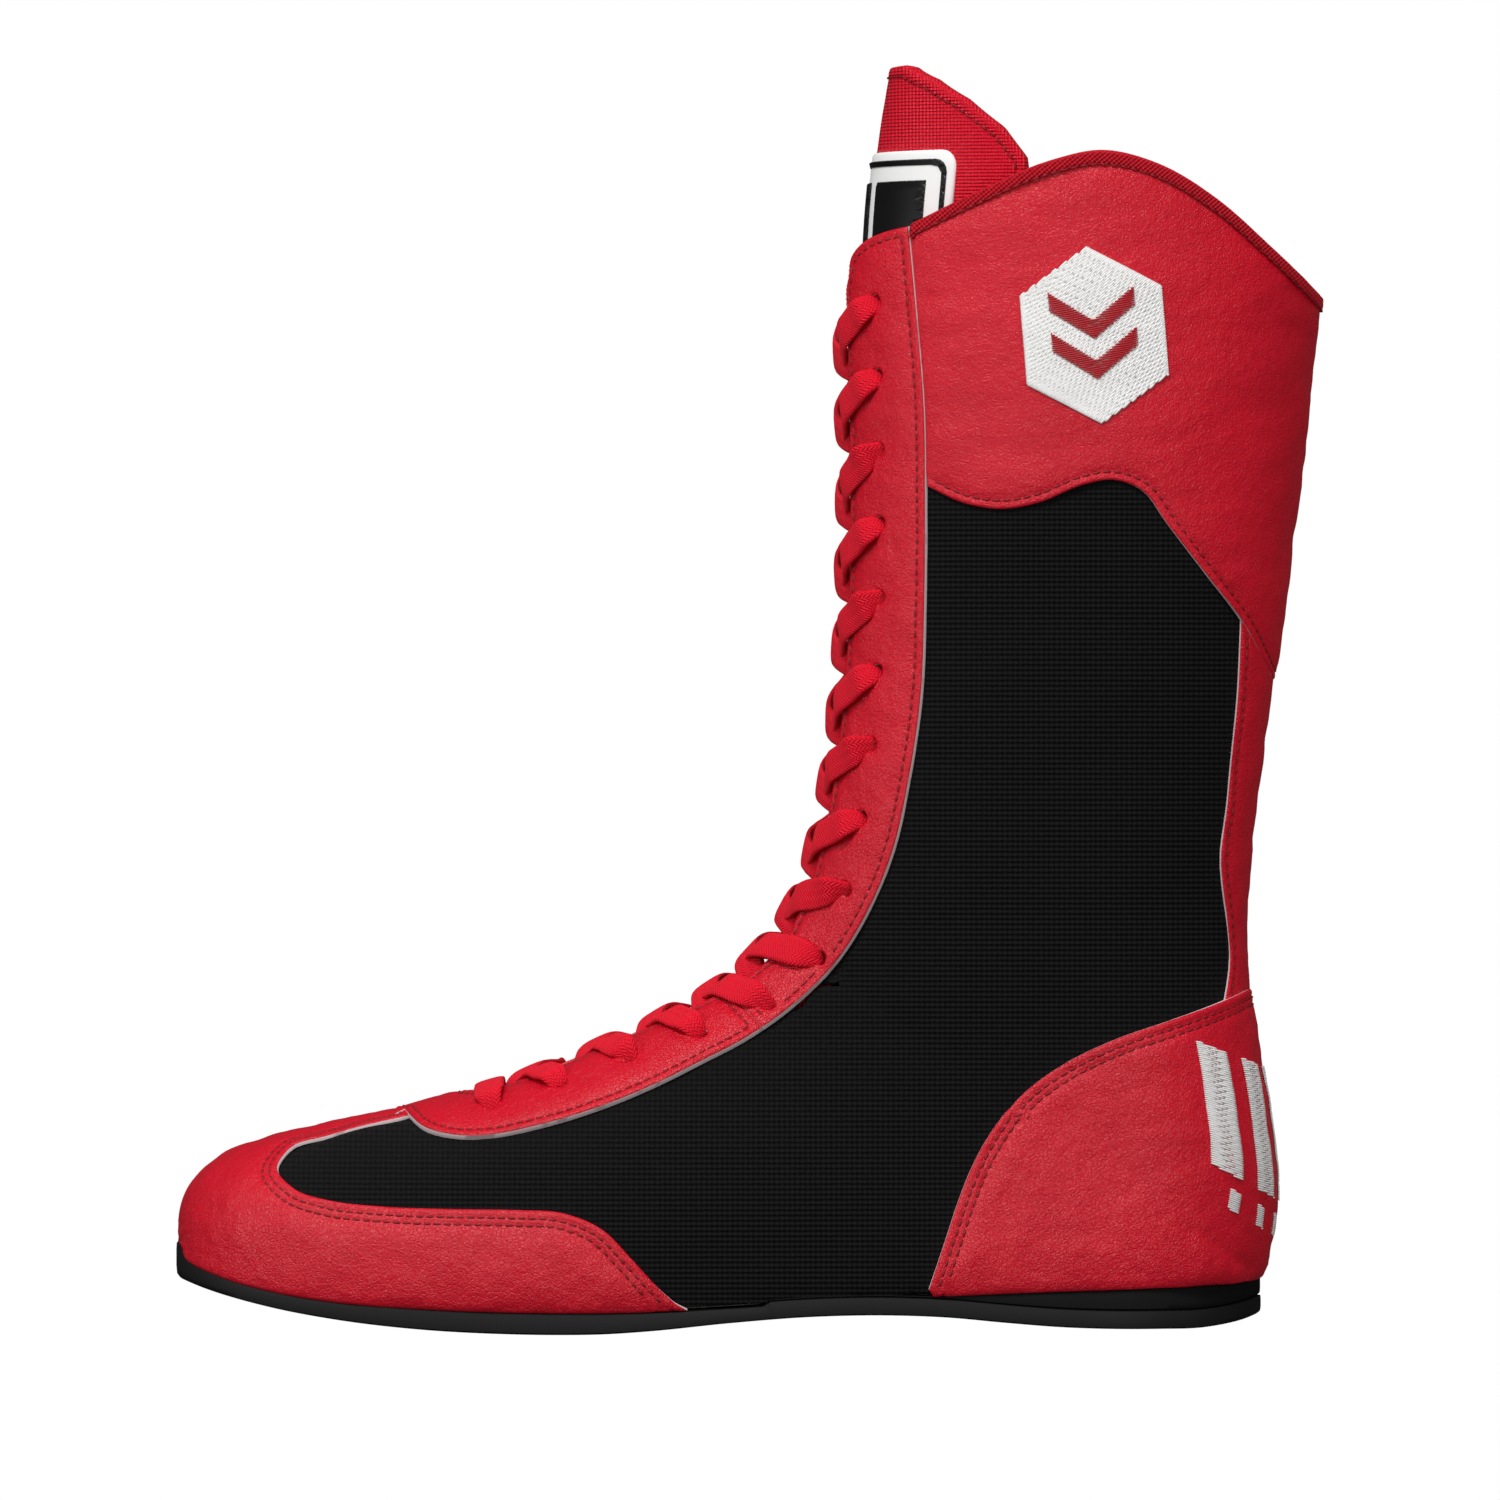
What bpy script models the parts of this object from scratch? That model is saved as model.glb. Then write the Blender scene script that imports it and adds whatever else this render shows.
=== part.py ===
"""A left high-top boxing boot, at rest on its sole.

Frame: +Z up, toe towards -X, medial side towards +Y. The origin is on the sole's flat bottom,
below the middle of the shaft. Tables are in millimetres; meshes are made in metres.

Every piece of the upper is a sheet that lies on one form, the last: a loft of sections that
starts at the toe tip, turns round the heel and runs up the shaft. A place on the last is (k, s):
k runs along it in millimetres, and s runs across it, 0 on the centre line in front and 1 at the
sole edge or the back seam. Lateral is s above 0, medial is s below 0, and s from 1 to 2 reaches
the medial side round the back.
"""

import math

import bmesh
import bpy
import numpy as np
from mathutils import Matrix, Vector
from mathutils.geometry import delaunay_2d_cdt

MM = 0.001

# Driving dimensions, in millimetres
OUTSOLE_THICK = 4.8
WELT = 1.6  # how far the sole stands out past the upper
THROAT_ARC = 13.5  # centre line to the facing's edge, along the surface
EYELET_ARC = 26.0
LINING_ARC = 31.5  # textile and lining stop here, under the facing
EYELET_PAIRS = 15
EYELET_RADIUS = 2.5
BINDING_WIDTH = 3.6
GAP = 0.3  # clearance between sheets
MM_PER_S = 85.0  # one unit of s across the tongue
BOARD_INSET = 4.4
BOARD_THICK = 1.6
SOCK_THICK = 4.4
SOCK_PIVOT = (-231.0, 0.0, 19.2)
LACE_HALF = 3.7  # half-width of the flat lace
BUNCH = 1.3  # half-width where it is gathered in an eyelet
LACE_THICK = 0.8
UNDER_OFFSET = -2.3  # the lace's middle, beneath the facing and where it crosses under
CROSS_OFFSET = -2.3  # where it passes under the strand it crosses in the throat
OVER_OFFSET = -1.1  # where it passes over that strand
TOP_OFFSET = 3.4  # on top of the facing
TAIL_OFFSET = -3.7  # each tail's middle, hanging between the facing and the tongue
TAIL_ARC = 27.6
TAIL_HALF = 2.8
TAIL_LENGTH = 62.0
TAIL_BELOW = 5.0  # from the top eyelet down to the tail's top, along k
AGLET_LENGTH = 18.0
AGLET_HALF = 1.9
AGLET_FLATNESS = 0.25
BADGE_RADIUS = 21.0
BADGE_AT = (2.0, 262.0)  # its middle in the side view, x and z
HEEL_BADGE_AT = (49.0, 52.0)
HEEL_BADGE_HALF = 12.0  # half its height
HEEL_BADGE_S = (0.80, 1.20)  # its two ends round the back
PATCH_LOW = 206.0
PATCH_HIGH = 309.0
PATCH_X = -30.0  # where those two heights are taken
PATCH_HALF = 45
INLAY_MARGINS = (3.0, 5.0)  # the patch's edge to the outside and inside of its printed frame
TONGUE_PIVOT = (-150.0, 0.0, 58.0)
TONGUE_CLEAR = 1.8  # between the tongue's sheets and its binding, measured on the last
SEAM = 0.004  # half the gap where two halves meet on the centre line, in s
TIP_OPEN = 5.5  # the layers inside the toe cap stop this short of the toe tip, in k
EDGE_S = 0.975  # where the sheets stop, just above the sole

# Distances from the last's surface to each sheet's inner face, and its thickness
OVERLAY = (0.3, 1.2)
BADGE = (1.8, 0.8)
TEXTILE = (-0.8, 0.8)
STIFFENER = (-1.9, 0.8)
LINING = (-3.0, 0.8)
BINDING = (-3.4, 5.4)
TONGUE_FACE = (-7.8, 1.0)
TONGUE_PAD = (-11.0, 2.9)
TONGUE_BACK = (-11.9, 0.6)
TONGUE_EDGE = (-12.1, 5.5)
PATCH = (-6.5, 1.2)
INLAY = (-5.0, 0.4)

# Each section of the last: the top point (x, z) on the front line, the bottom point (x, z) on the
# sole edge or back line, lateral and medial half-width, sideways shift of the front line, the
# shares of the section that round off at its top and bottom, and how open its bottom is.
SECTIONS = (
    (-235.4, 25.3, -235.4, 23.7, 0.5, 0.5, 6.0, 0.60, 0.20, 1.00),
    (-234.7, 30.6, -234.7, 20.8, 6.3, 6.3, 6.0, 0.60, 0.20, 0.98),
    (-232.7, 36.0, -232.7, 18.4, 12.8, 12.8, 6.0, 0.60, 0.20, 0.96),
    (-229.0, 40.8, -229.0, 16.6, 19.5, 20.0, 6.0, 0.62, 0.22, 0.95),
    (-223.0, 45.0, -223.0, 14.3, 26.0, 28.0, 5.5, 0.64, 0.22, 0.95),
    (-213.0, 48.8, -213.0, 11.6, 32.5, 35.0, 5.0, 0.66, 0.22, 0.95),
    (-198.0, 52.6, -198.0, 9.0, 39.0, 40.0, 4.5, 0.68, 0.22, 0.95),
    (-173.0, 57.8, -173.0, 7.0, 44.5, 44.5, 3.5, 0.72, 0.20, 0.95),
    (-146.0, 65.2, -146.0, 6.0, 48.0, 45.5, 2.5, 0.78, 0.18, 0.95),
    (-124.0, 74.3, -116.0, 6.0, 48.5, 43.0, 1.5, 0.80, 0.18, 0.95),
    (-107.5, 82.4, -75.0, 8.0, 45.0, 37.5, 1.0, 0.78, 0.18, 0.94),
    (-97.5, 88.0, -35.0, 10.0, 40.0, 33.5, 0.5, 0.70, 0.18, 0.93),
    (-90.5, 92.8, 0.0, 11.2, 36.0, 32.0, 0.0, 0.60, 0.18, 0.93),
    (-86.0, 96.6, 22.0, 12.0, 34.5, 32.0, 0.0, 0.55, 0.20, 0.88),
    (-83.0, 99.4, 35.0, 13.0, 33.8, 32.0, 0.0, 0.52, 0.22, 0.70),
    (-81.2, 101.4, 42.3, 13.8, 33.4, 32.0, 0.0, 0.50, 0.23, 0.42),
    (-79.8, 103.2, 46.4, 15.0, 33.2, 32.0, 0.0, 0.50, 0.24, 0.00),
    (-78.4, 105.6, 48.6, 23.0, 33.0, 32.0, 0.0, 0.48, 0.25, 0.00),
    (-76.6, 109.0, 49.8, 37.0, 33.0, 32.0, 0.0, 0.47, 0.27, 0.00),
    (-73.8, 114.5, 48.0, 56.0, 33.2, 32.2, 0.0, 0.46, 0.31, 0.00),
    (-71.0, 121.5, 44.6, 79.0, 33.6, 32.8, 0.0, 0.46, 0.36, 0.00),
    (-68.2, 131.0, 42.7, 102.0, 34.2, 33.6, 0.0, 0.47, 0.42, 0.00),
    (-65.8, 144.0, 43.9, 124.0, 35.0, 34.6, 0.0, 0.48, 0.46, 0.00),
    (-63.4, 162.0, 47.5, 154.0, 36.2, 36.0, 0.0, 0.50, 0.50, 0.00),
    (-61.6, 187.0, 51.8, 187.0, 37.6, 37.6, 0.0, 0.50, 0.50, 0.00),
    (-61.0, 218.0, 55.6, 218.0, 39.0, 39.0, 0.0, 0.50, 0.50, 0.00),
    (-61.4, 250.0, 59.2, 250.0, 40.0, 40.0, 0.0, 0.50, 0.50, 0.00),
    (-62.0, 280.0, 62.6, 280.0, 40.5, 40.5, 0.0, 0.50, 0.50, 0.00),
    (-59.6, 310.0, 65.0, 310.0, 40.5, 40.5, 0.0, 0.50, 0.50, 0.00),
    (-54.6, 340.0, 66.6, 340.0, 40.5, 40.5, 0.0, 0.50, 0.50, 0.00),
)
HEEL_SECTION = 16  # the first section that closes round the heel
PUFF_SECTION = 6  # where the toe puff ends
ROUNDNESS = 2.2
STRIPS = 6  # facets across each side of the last
FACET_SHORT = 3.0  # the least length of a facet along the foot, and along the shaft
FACET_MIDDLE = 13.0
FACET_LONG = 36.0  # the usual length
ACROSS = 90.0  # one unit of s, in millimetres, when a sheet is laid out flat

# Pattern lines as side views (x, z), in millimetres
FACING_TOP = ((-59.0, 278.0), (-57.0, 283.5), (-51.5, 287.0), (-44.3, 288.5))
FACING_REAR = ((-44.3, 288), (-42.7, 270), (-40.3, 239), (-40.1, 218), (-40.3, 191), (-41.4, 165),
               (-44.5, 144), (-48.5, 126), (-55, 110), (-63, 97), (-76, 84), (-86.5, 76.6))
STAY_LOWER = ((-86.5, 76.6), (-99.6, 69.7), (-110, 64.5), (-126, 57.9), (-141.5, 53.2), (-154.6, 50.6),
              (-164, 50.8), (-171.6, 52.6), (-176, 56.0))
COLLAR_TOP = ((-44.3, 288.5), (-27, 297), (-8, 305), (5, 307.6), (20, 304), (35, 295), (48, 283.5),
              (57, 275), (62, 270))
COLLAR_LOWER = ((-40.2, 221), (-31, 216.5), (-21, 214.8), (-11, 216.5), (0, 221), (8, 222.4), (15, 220),
                (22, 211), (32, 198), (42, 185), (50, 170))
BACKSTAY_EDGE = ((41.6, 189), (40.5, 165), (37.5, 135), (36.2, 125), (38.0, 106), (37.0, 92), (35.5, 86))
HEEL_TOP = ((43.4, 89.5), (36, 86), (22, 81), (5, 73.5), (-10, 64), (-20, 53), (-28, 40), (-35, 26),
            (-41, 9))
TOE_WINDOW = ((-103, 6), (-110, 12), (-117, 19.5), (-125, 27.5), (-135, 31.5), (-147, 32.2), (-165, 32.4),
              (-183.5, 33.0), (-196, 34.4), (-205, 37.4), (-208.6, 42.0), (-204.5, 46.4))
TOE_STRIP_ARC = 13.0
THROAT_FRONT_X = -160.0
FIRST_EYELET_X = -153.5
LAST_EYELET = (-49.0, 269.0)  # x and z of the top one
STAY_FRONT_X = -179.0
STAY_SEAM_X = -94.0  # on the front line, where the throat stay meets the facings
TONGUE_BASE_X = -168.0
COUNTER_TOP = ((46.4, 70), (38, 67), (24, 62), (8, 55), (-8, 45), (-18, 35), (-26, 22), (-31, 10))
TONGUE_WIDTHS = ((78, 0.20), (192, 0.34), (420, 0.42), (474, 0.43), (484, 0.42), (492, 0.38), (500, 0.31),
                 (506, 0.23), (510, 0.14), (512, 0.04))  # (k, half-width as s)
TONGUE_SHOULDER = 474  # the k where its edges start to round over to the top

# The sole's bottom line: height above the ground at each x
SOLE_BOTTOM = ((-240, 15.5), (-228, 11.2), (-213, 7.2), (-193, 3.6), (-172, 1.3), (-150, 0.2), (-138, 0.0),
               (36, 0.0), (44, 1.0), (52, 3.4))
MIDSOLE_START_X = -82.0


def clear_scene():
    for obj in list(bpy.data.objects):
        bpy.data.objects.remove(obj)


def smooth_value(xs, ys, x):
    """A curve through (xs, ys) with no kinks: cubic pieces with three-point slopes."""
    xs = np.asarray(xs, float)
    ys = np.asarray(ys, float)
    step = np.diff(xs)
    rise = np.diff(ys, axis=0) / step.reshape(-1, *([1] * (ys.ndim - 1)))
    weight = (step[1:] / (step[1:] + step[:-1])).reshape(-1, *([1] * (ys.ndim - 1)))
    slope = np.concatenate([rise[:1], rise[:-1] * weight + rise[1:] * (1 - weight), rise[-1:]])
    i = np.clip(np.searchsorted(xs, x, side="right") - 1, 0, len(xs) - 2)
    h = step[i]
    q = np.clip((x - xs[i]) / h, 0, 1)
    if ys.ndim > 1:
        h = h[..., None]
        q = q[..., None]
    return (ys[i] * (1 + 2 * q) * (1 - q) ** 2 + slope[i] * h * q * (1 - q) ** 2
            + ys[i + 1] * q * q * (3 - 2 * q) + slope[i + 1] * h * q * q * (q - 1))


SECTION_TABLE = np.array(SECTIONS)
_hops = np.diff(SECTION_TABLE[:, :4], axis=0)
KNOTS = np.concatenate([[0], np.cumsum((np.hypot(_hops[:, 0], _hops[:, 1])
                                        + np.hypot(_hops[:, 2], _hops[:, 3])) / 2)])
K_END = KNOTS[-1]
K_HEEL = KNOTS[HEEL_SECTION]


def rounded(q):
    q = np.clip(q, 0, 1)
    return (1 - (1 - q) ** ROUNDNESS) ** (1 / ROUNDNESS)


def share_down(u, open_bottom):
    """How far down its section a place is, from u, the share of the way round."""
    return open_bottom * (1 - np.cos(math.pi * u / 2)) + (1 - open_bottom) * (1 - np.cos(math.pi * u)) / 2


def last_point(k, s):
    """Points on the last's surface, in millimetres."""
    k = np.asarray(k, float)
    s = np.asarray(s, float)
    s = np.where(s > 1, s - 2, s)
    row = smooth_value(KNOTS, SECTION_TABLE, np.clip(k, 0, K_END))
    tx, tz, bx, bz, lateral, medial, shift, top, bottom, opened = np.moveaxis(row, -1, 0)
    opened = np.clip(opened, 0, 1)
    t = share_down(np.abs(s), opened)
    width = np.where(s > 0, -lateral, medial)
    y = shift * (1 - t) + width * rounded(t / top) * (opened + (1 - opened) * rounded((1 - t) / bottom))
    return np.stack([tx + (bx - tx) * t, y, tz + (bz - tz) * t], axis=-1)


def facet_lines():
    """The k and s values whose crossings are the corners of the last's facets."""
    ks = [0.4]
    for knot in KNOTS[1:]:
        parts = max(1, round((knot - ks[-1]) / FACET_LONG))
        if knot - ks[-1] > (FACET_SHORT if knot <= K_HEEL + 0.1 else FACET_MIDDLE):
            ks += list(np.linspace(ks[-1], knot, parts + 1)[1:])
    ks[-1] = K_END - 1.0
    return np.array(ks), np.arange(-STRIPS, 2 * STRIPS + 1) / STRIPS


K_LINES, S_LINES = facet_lines()


def corner_table():
    """The corners of the facets from s = -1 to 1, and how each moves when the facets move out by 1."""
    k, s = np.meshgrid(K_LINES, S_LINES[:2 * STRIPS + 1], indexing="ij")
    corners = last_point(k, s * 0.9995)
    normals = [[[] for _ in range(s.shape[1])] for _ in K_LINES]
    for i in range(len(K_LINES) - 1):
        for j in range(2 * STRIPS):
            a, b, c, d = (i, j), (i + 1, j), (i + 1, j + 1), (i, j + 1)
            for face in ((a, b, c), (a, c, d)) if j < STRIPS else ((a, b, d), (b, c, d)):
                p, q, r = (corners[corner] for corner in face)
                n = np.cross(r - p, q - p)
                for corner in face:
                    normals[corner[0]][corner[1]].append(n / max(np.linalg.norm(n), 1e-9))
    moves = np.zeros_like(corners)
    for i, k_line in enumerate(K_LINES):
        if k_line >= K_HEEL - 0.1:
            normals[i][0] = normals[i][-1] = normals[i][0] + normals[i][-1]
        for j, around in enumerate(normals[i]):
            moves[i, j] = mitre(np.array(around))
    moves[0, :, 0] = -1 / np.maximum(-moves[0, :, 0], 0.5)
    moves[0, :, 1:] = 0.0
    return corners, moves


def mitre(normals):
    """The vector that moves every plane with these normals out by about 1."""
    middle = normals.mean(axis=0)
    middle /= np.linalg.norm(middle)
    return middle / max(float(np.mean(normals @ middle)), 0.6)


CORNERS, CORNER_MOVES = corner_table()


def on_facets(places, offset):
    """Points offset from the last's facets, so that all sheets are parallel, in millimetres."""
    k, s = np.asarray(places, float).T
    s = np.where(s > 1, s - 2, s)
    i = np.clip(np.searchsorted(K_LINES, k, side="right") - 1, 0, len(K_LINES) - 2)
    j = np.clip(np.searchsorted(S_LINES, s + 1e-9, side="right") - 1, 0, 2 * STRIPS - 1)
    a = np.clip((k - K_LINES[i]) / (K_LINES[i + 1] - K_LINES[i]), 0, 1)[:, None]
    b = np.clip((s - S_LINES[j]) / (S_LINES[j + 1] - S_LINES[j]), 0, 1)[:, None]

    def mix(table):
        here, on, over, both = table[i, j], table[i + 1, j], table[i, j + 1], table[i + 1, j + 1]
        medial = np.where(a > b, here + (on - here) * a + (both - on) * b,
                          here + (over - here) * b + (both - over) * a)
        lateral = np.where(a + b < 1, here + (on - here) * a + (over - here) * b,
                           both + (over - both) * (1 - a) + (on - both) * (1 - b))
        return np.where((j < STRIPS)[:, None], medial, lateral)

    return mix(CORNERS) + mix(CORNER_MOVES) * offset


def locate(x, z):
    """The place (k, s) on the lateral side that has this side view."""
    ks = np.linspace(0.5, K_END, 1500)
    row = smooth_value(KNOTS, SECTION_TABLE, ks)
    down = row[:, 2:4] - row[:, :2]
    side = down[:, 0] * (z - row[:, 1]) - down[:, 1] * (x - row[:, 0])
    share = ((x - row[:, 0]) * down[:, 0] + (z - row[:, 1]) * down[:, 1]) / (down ** 2).sum(axis=1)
    flips = np.where((side[:-1] * side[1:] <= 0) & (share[:-1] > -0.3) & (share[:-1] < 1.3))[0]
    if len(flips) == 0:
        raise ValueError(f"({x}, {z}) is off the last")
    i = flips[0]
    k = ks[i] + (ks[i + 1] - ks[i]) * side[i] / (side[i] - side[i + 1])
    us = np.linspace(0, 1, 400)
    opened = float(np.clip(smooth_value(KNOTS, SECTION_TABLE, k)[9], 0, 1))
    return float(k), float(np.interp(np.clip(share[i], 0, 1), share_down(us, opened), us))


def k_of_front(x):
    """The k whose section starts at this x on the front line of the foot."""
    ks = np.linspace(0, K_END, 3000)
    return float(np.interp(x, smooth_value(KNOTS, SECTION_TABLE, ks)[:, 0][ks < 420], ks[ks < 420]))


def s_of_arc(k, arc):
    """The s that is this far from the front line, measured along the surface."""
    s = np.linspace(0, 0.75, 300)
    p = last_point(np.full_like(s, k), s)
    length = np.concatenate([[0], np.cumsum(np.linalg.norm(np.diff(p, axis=0), axis=1))])
    return float(np.interp(arc, length, s))


def line_on_last(points, parts=1):
    """A side-view line laid on the last, with each leg in equal parts."""
    points = np.array(points, float)
    even = np.arange((len(points) - 1) * parts + 1) / parts
    xs, zs = (np.interp(even, np.arange(len(points)), column) for column in points.T)
    return np.array([locate(x, z) for x, z in zip(xs, zs)])


def arc_line(k_from, k_to, arc, count):
    """Places a fixed distance from the front line."""
    return np.array([(k, s_of_arc(k, arc)) for k in np.linspace(k_from, k_to, count)])


def mirrored(line):
    """The same places on the other side, reached over the front, in reverse order."""
    line = np.array(line)
    return np.column_stack([line[::-1, 0], -line[::-1, 1]])


def round_the_back(line):
    """The same places on the medial side, reached round the back, in reverse order."""
    line = np.array(line)
    return np.column_stack([line[::-1, 0], 2 - line[::-1, 1]])


def inside_loop(points, loop):
    x, y = points[:, 0], points[:, 1]
    found = np.zeros(len(points), bool)
    for (x0, y0), (x1, y1) in zip(loop, np.roll(loop, -1, axis=0)):
        crosses = (y0 > y) != (y1 > y)
        found ^= crosses & (x < (x1 - x0) * (y - y0) / (y1 - y0 + 1e-300) + x0)
    return found


def flat_pattern(loops):
    """Triangles of the area inside the first loop and outside the others, cut along the facets."""
    lo, hi = loops[0].min(axis=0), loops[0].max(axis=0)
    i0, i1 = np.searchsorted(K_LINES, (lo[0], hi[0]))
    j0, j1 = np.searchsorted(S_LINES, (lo[1], hi[1]))
    i0, i1 = max(i0 - 1, 0), min(i1, len(K_LINES) - 1)
    j0, j1 = max(j0 - 1, 0), min(j1, len(S_LINES) - 1)
    verts, edges = [], []
    wide = j1 - j0 + 1
    for i in range(i0, i1 + 1):
        for j in range(j0, j1 + 1):
            n = len(verts)
            verts.append((K_LINES[i], S_LINES[j] * ACROSS))
            edges += [(n - 1, n)] if j > j0 else []
            edges += [(n - wide, n)] if i > i0 else []
            medial = (S_LINES[j] - 0.01 + 1) % 2 < 1
            if i > i0 and j > j0:
                edges.append((n - wide - 1, n) if medial else (n - wide, n - 1))
    for loop in loops:
        n = len(verts)
        verts += [(k, s * ACROSS) for k, s in loop]
        edges += [(n + i, n + (i + 1) % len(loop)) for i in range(len(loop))]
    made, _, faces, *_ = delaunay_2d_cdt([Vector(v) for v in verts], edges, [], 0, 1e-5)
    places = np.array([(v.x, v.y / ACROSS) for v in made])
    faces = np.array([f for f in faces if len(f) == 3])
    middle = places[faces].mean(axis=1)
    keep = inside_loop(middle, loops[0])
    for hole in loops[1:]:
        keep &= ~inside_loop(middle, hole)
    faces = faces[keep]
    used, index = np.unique(faces, return_inverse=True)
    return places[used], index.reshape(-1, 3)[:, ::-1]


def make_material(name, colour, roughness):
    material = bpy.data.materials.new(name)
    material.use_nodes = True
    shader = material.node_tree.nodes["Principled BSDF"]
    shader.inputs["Base Color"].default_value = (*colour, 1.0)
    shader.inputs["Roughness"].default_value = roughness
    shader.inputs["Metallic"].default_value = 0.0
    return material


def add_object(name, points_mm, faces, material):
    mesh = bpy.data.meshes.new(name)
    points = [tuple(p) for p in np.asarray(points_mm) * MM]
    mesh.from_pydata(points, [], [tuple(map(int, f)) for f in faces])
    mesh.materials.append(material)
    mesh.shade_smooth()
    obj = bpy.data.objects.new(name, mesh)
    BOOT.objects.link(obj)
    return obj


def sheet(name, layer, material, outline, holes=()):
    """A sheet of the upper: an open surface on the last, made solid outwards."""
    inner, thick = layer
    places, faces = flat_pattern([np.array(outline, float)] + [np.array(h, float) for h in holes])
    obj = add_object(name, on_facets(places, inner), faces, material)
    solid = obj.modifiers.new("thickness", "SOLIDIFY")
    solid.thickness = thick * MM
    solid.offset = 1.0
    return obj


def tidy_loop(places):
    """Drops points that nearly repeat the one before."""
    kept = [places[0]]
    for p in places[1:]:
        if math.hypot(p[0] - kept[-1][0], (p[1] - kept[-1][1]) * ACROSS) > 0.4:
            kept.append(p)
    first, final = kept[0], kept[-1]
    if math.hypot(first[0] - final[0], (first[1] - final[1]) * ACROSS) < 0.4:
        kept.pop()
    return np.array(kept)


def joined(*lines):
    return tidy_loop(np.concatenate([np.atleast_2d(np.array(line, float)) for line in lines]))




def shifted(line, millimetres):
    """A line moved down its sheet, along k."""
    line = np.array(line, float)
    return np.column_stack([line[:, 0] - millimetres, line[:, 1]])


def disc_at(place, radius, sides=6):
    """A loop of the given radius round a place, in millimetres on the surface."""
    k, s = place
    per_k = np.linalg.norm(last_point(k + 0.5, s) - last_point(k - 0.5, s))
    per_s = np.linalg.norm(last_point(k, s + 0.005) - last_point(k, s - 0.005)) / 0.01
    turn = np.arange(sides) / sides * 2 * math.pi
    return np.column_stack([k + radius * np.cos(turn) / per_k, s + radius * np.sin(turn) / per_s])


def k_to_s(line, k):
    """The s at which a line of places reaches this k."""
    line = np.array(sorted(map(tuple, line)))
    return float(np.interp(k, line[:, 0], line[:, 1]))


def eyelet_places():
    """The lateral eyelets, evenly spaced along their line from the toe end to the top."""
    line = arc_line(k_of_front(FIRST_EYELET_X), locate(*LAST_EYELET)[0], EYELET_ARC, 120)
    points = last_point(line[:, 0], line[:, 1])
    length = np.concatenate([[0], np.cumsum(np.linalg.norm(np.diff(points, axis=0), axis=1))])
    even = np.linspace(0, length[-1], EYELET_PAIRS)
    return np.column_stack([np.interp(even, length, line[:, 0]), np.interp(even, length, line[:, 1])])


EYELETS = eyelet_places()
K_SEAM = k_of_front(STAY_SEAM_X)
K_THROAT = k_of_front(THROAT_FRONT_X)
K_FACING_TOP = locate(*FACING_TOP[0])[0]


def eyelet_holes(side, first, last):
    places = EYELETS[first:last] * (1, side)
    return [disc_at(place, EYELET_RADIUS) for place in places]


# The upper's outlines

def toe_cap_outline():
    window = line_on_last(TOE_WINDOW)
    window = window[window[:, 1] < EDGE_S - 0.03]
    strip = arc_line(window[-1][0] + 6, k_of_front(STAY_FRONT_X) - 3, TOE_STRIP_ARC, 4)
    sole = np.column_stack([np.linspace(K_LINES[0] + 0.2, window[0][0] + 3, 6), np.full(6, EDGE_S)])
    half = joined(sole, window, strip)
    return joined(half, mirrored(half))


def stay_outline():
    low = line_on_last(STAY_LOWER)
    front = [(k_of_front(STAY_FRONT_X), 0.16)]
    edge = arc_line(K_SEAM - GAP, K_THROAT + 7, THROAT_ARC, 8)
    inner = joined(edge, [(K_THROAT + 2.5, s_of_arc(K_THROAT, 10.0)), (K_THROAT, s_of_arc(K_THROAT, 5.0))])
    low = low[low[:, 0] < K_SEAM - 1]
    outer = joined([(K_SEAM - GAP, k_to_s(low, K_SEAM))], low, front)
    return joined(outer, mirrored(outer), inner * (1, -1), inner[::-1])


def facing_outline(side):
    rear = line_on_last(FACING_REAR)
    rear = rear[rear[:, 0] > K_SEAM + 1]
    top = line_on_last(FACING_TOP)
    edge = arc_line(K_SEAM + GAP, K_FACING_TOP - 3, THROAT_ARC, 14)
    outline = joined(edge, top, rear, [(K_SEAM + GAP, k_to_s(rear, K_SEAM))])
    return outline * (1, side)


def tape_outline(side, k_from, k_to):
    return joined(arc_line(k_from, k_to, THROAT_ARC + 3, 14),
                  arc_line(k_to, k_from, LINING_ARC - 1.8, 12)) * (1, side)


def collar_edge():
    """The collar's top edge on the lateral side, from the facing to the back seam."""
    line = line_on_last(COLLAR_TOP)
    line[-1, 1] = 1.0
    return line


def half_upper(side, drop):
    """Half of a full layer of the upper: toe, side and shaft, open along the throat."""
    collar = shifted(collar_edge(), BINDING_WIDTH + 7 * GAP + drop)
    collar = joined([(K_FACING_TOP - 3, s_of_arc(K_FACING_TOP, LINING_ARC))], collar)
    collar[-1, 1] = 1 - SEAM
    sole = np.column_stack([np.linspace(K_HEEL, TIP_OPEN, 9), np.full(9, EDGE_S)])
    throat = arc_line(K_THROAT, K_FACING_TOP - 8, LINING_ARC, 14)
    front = [(TIP_OPEN, SEAM), (K_THROAT - 12, SEAM), (K_THROAT - 10, s_of_arc(K_THROAT, 20.0))]
    return joined(collar, [(K_HEEL + 1, 1 - SEAM)], sole, front, throat) * (1, side)


def collar_outline():
    top = shifted(collar_edge(), BINDING_WIDTH + 4 * GAP)
    low = line_on_last(COLLAR_LOWER)
    low[-1, 1] = 1.0
    rear = line_on_last(FACING_REAR)
    side_edge = rear[(rear[:, 0] < top[0][0] - 2) & (rear[:, 0] > low[0][0] + 2)] + (0, 0.012)
    lateral = joined(low[:0:-1], side_edge[::-1], [top[0] + (0, 0.012)], top[1:])
    return joined(lateral, round_the_back(lateral))


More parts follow.
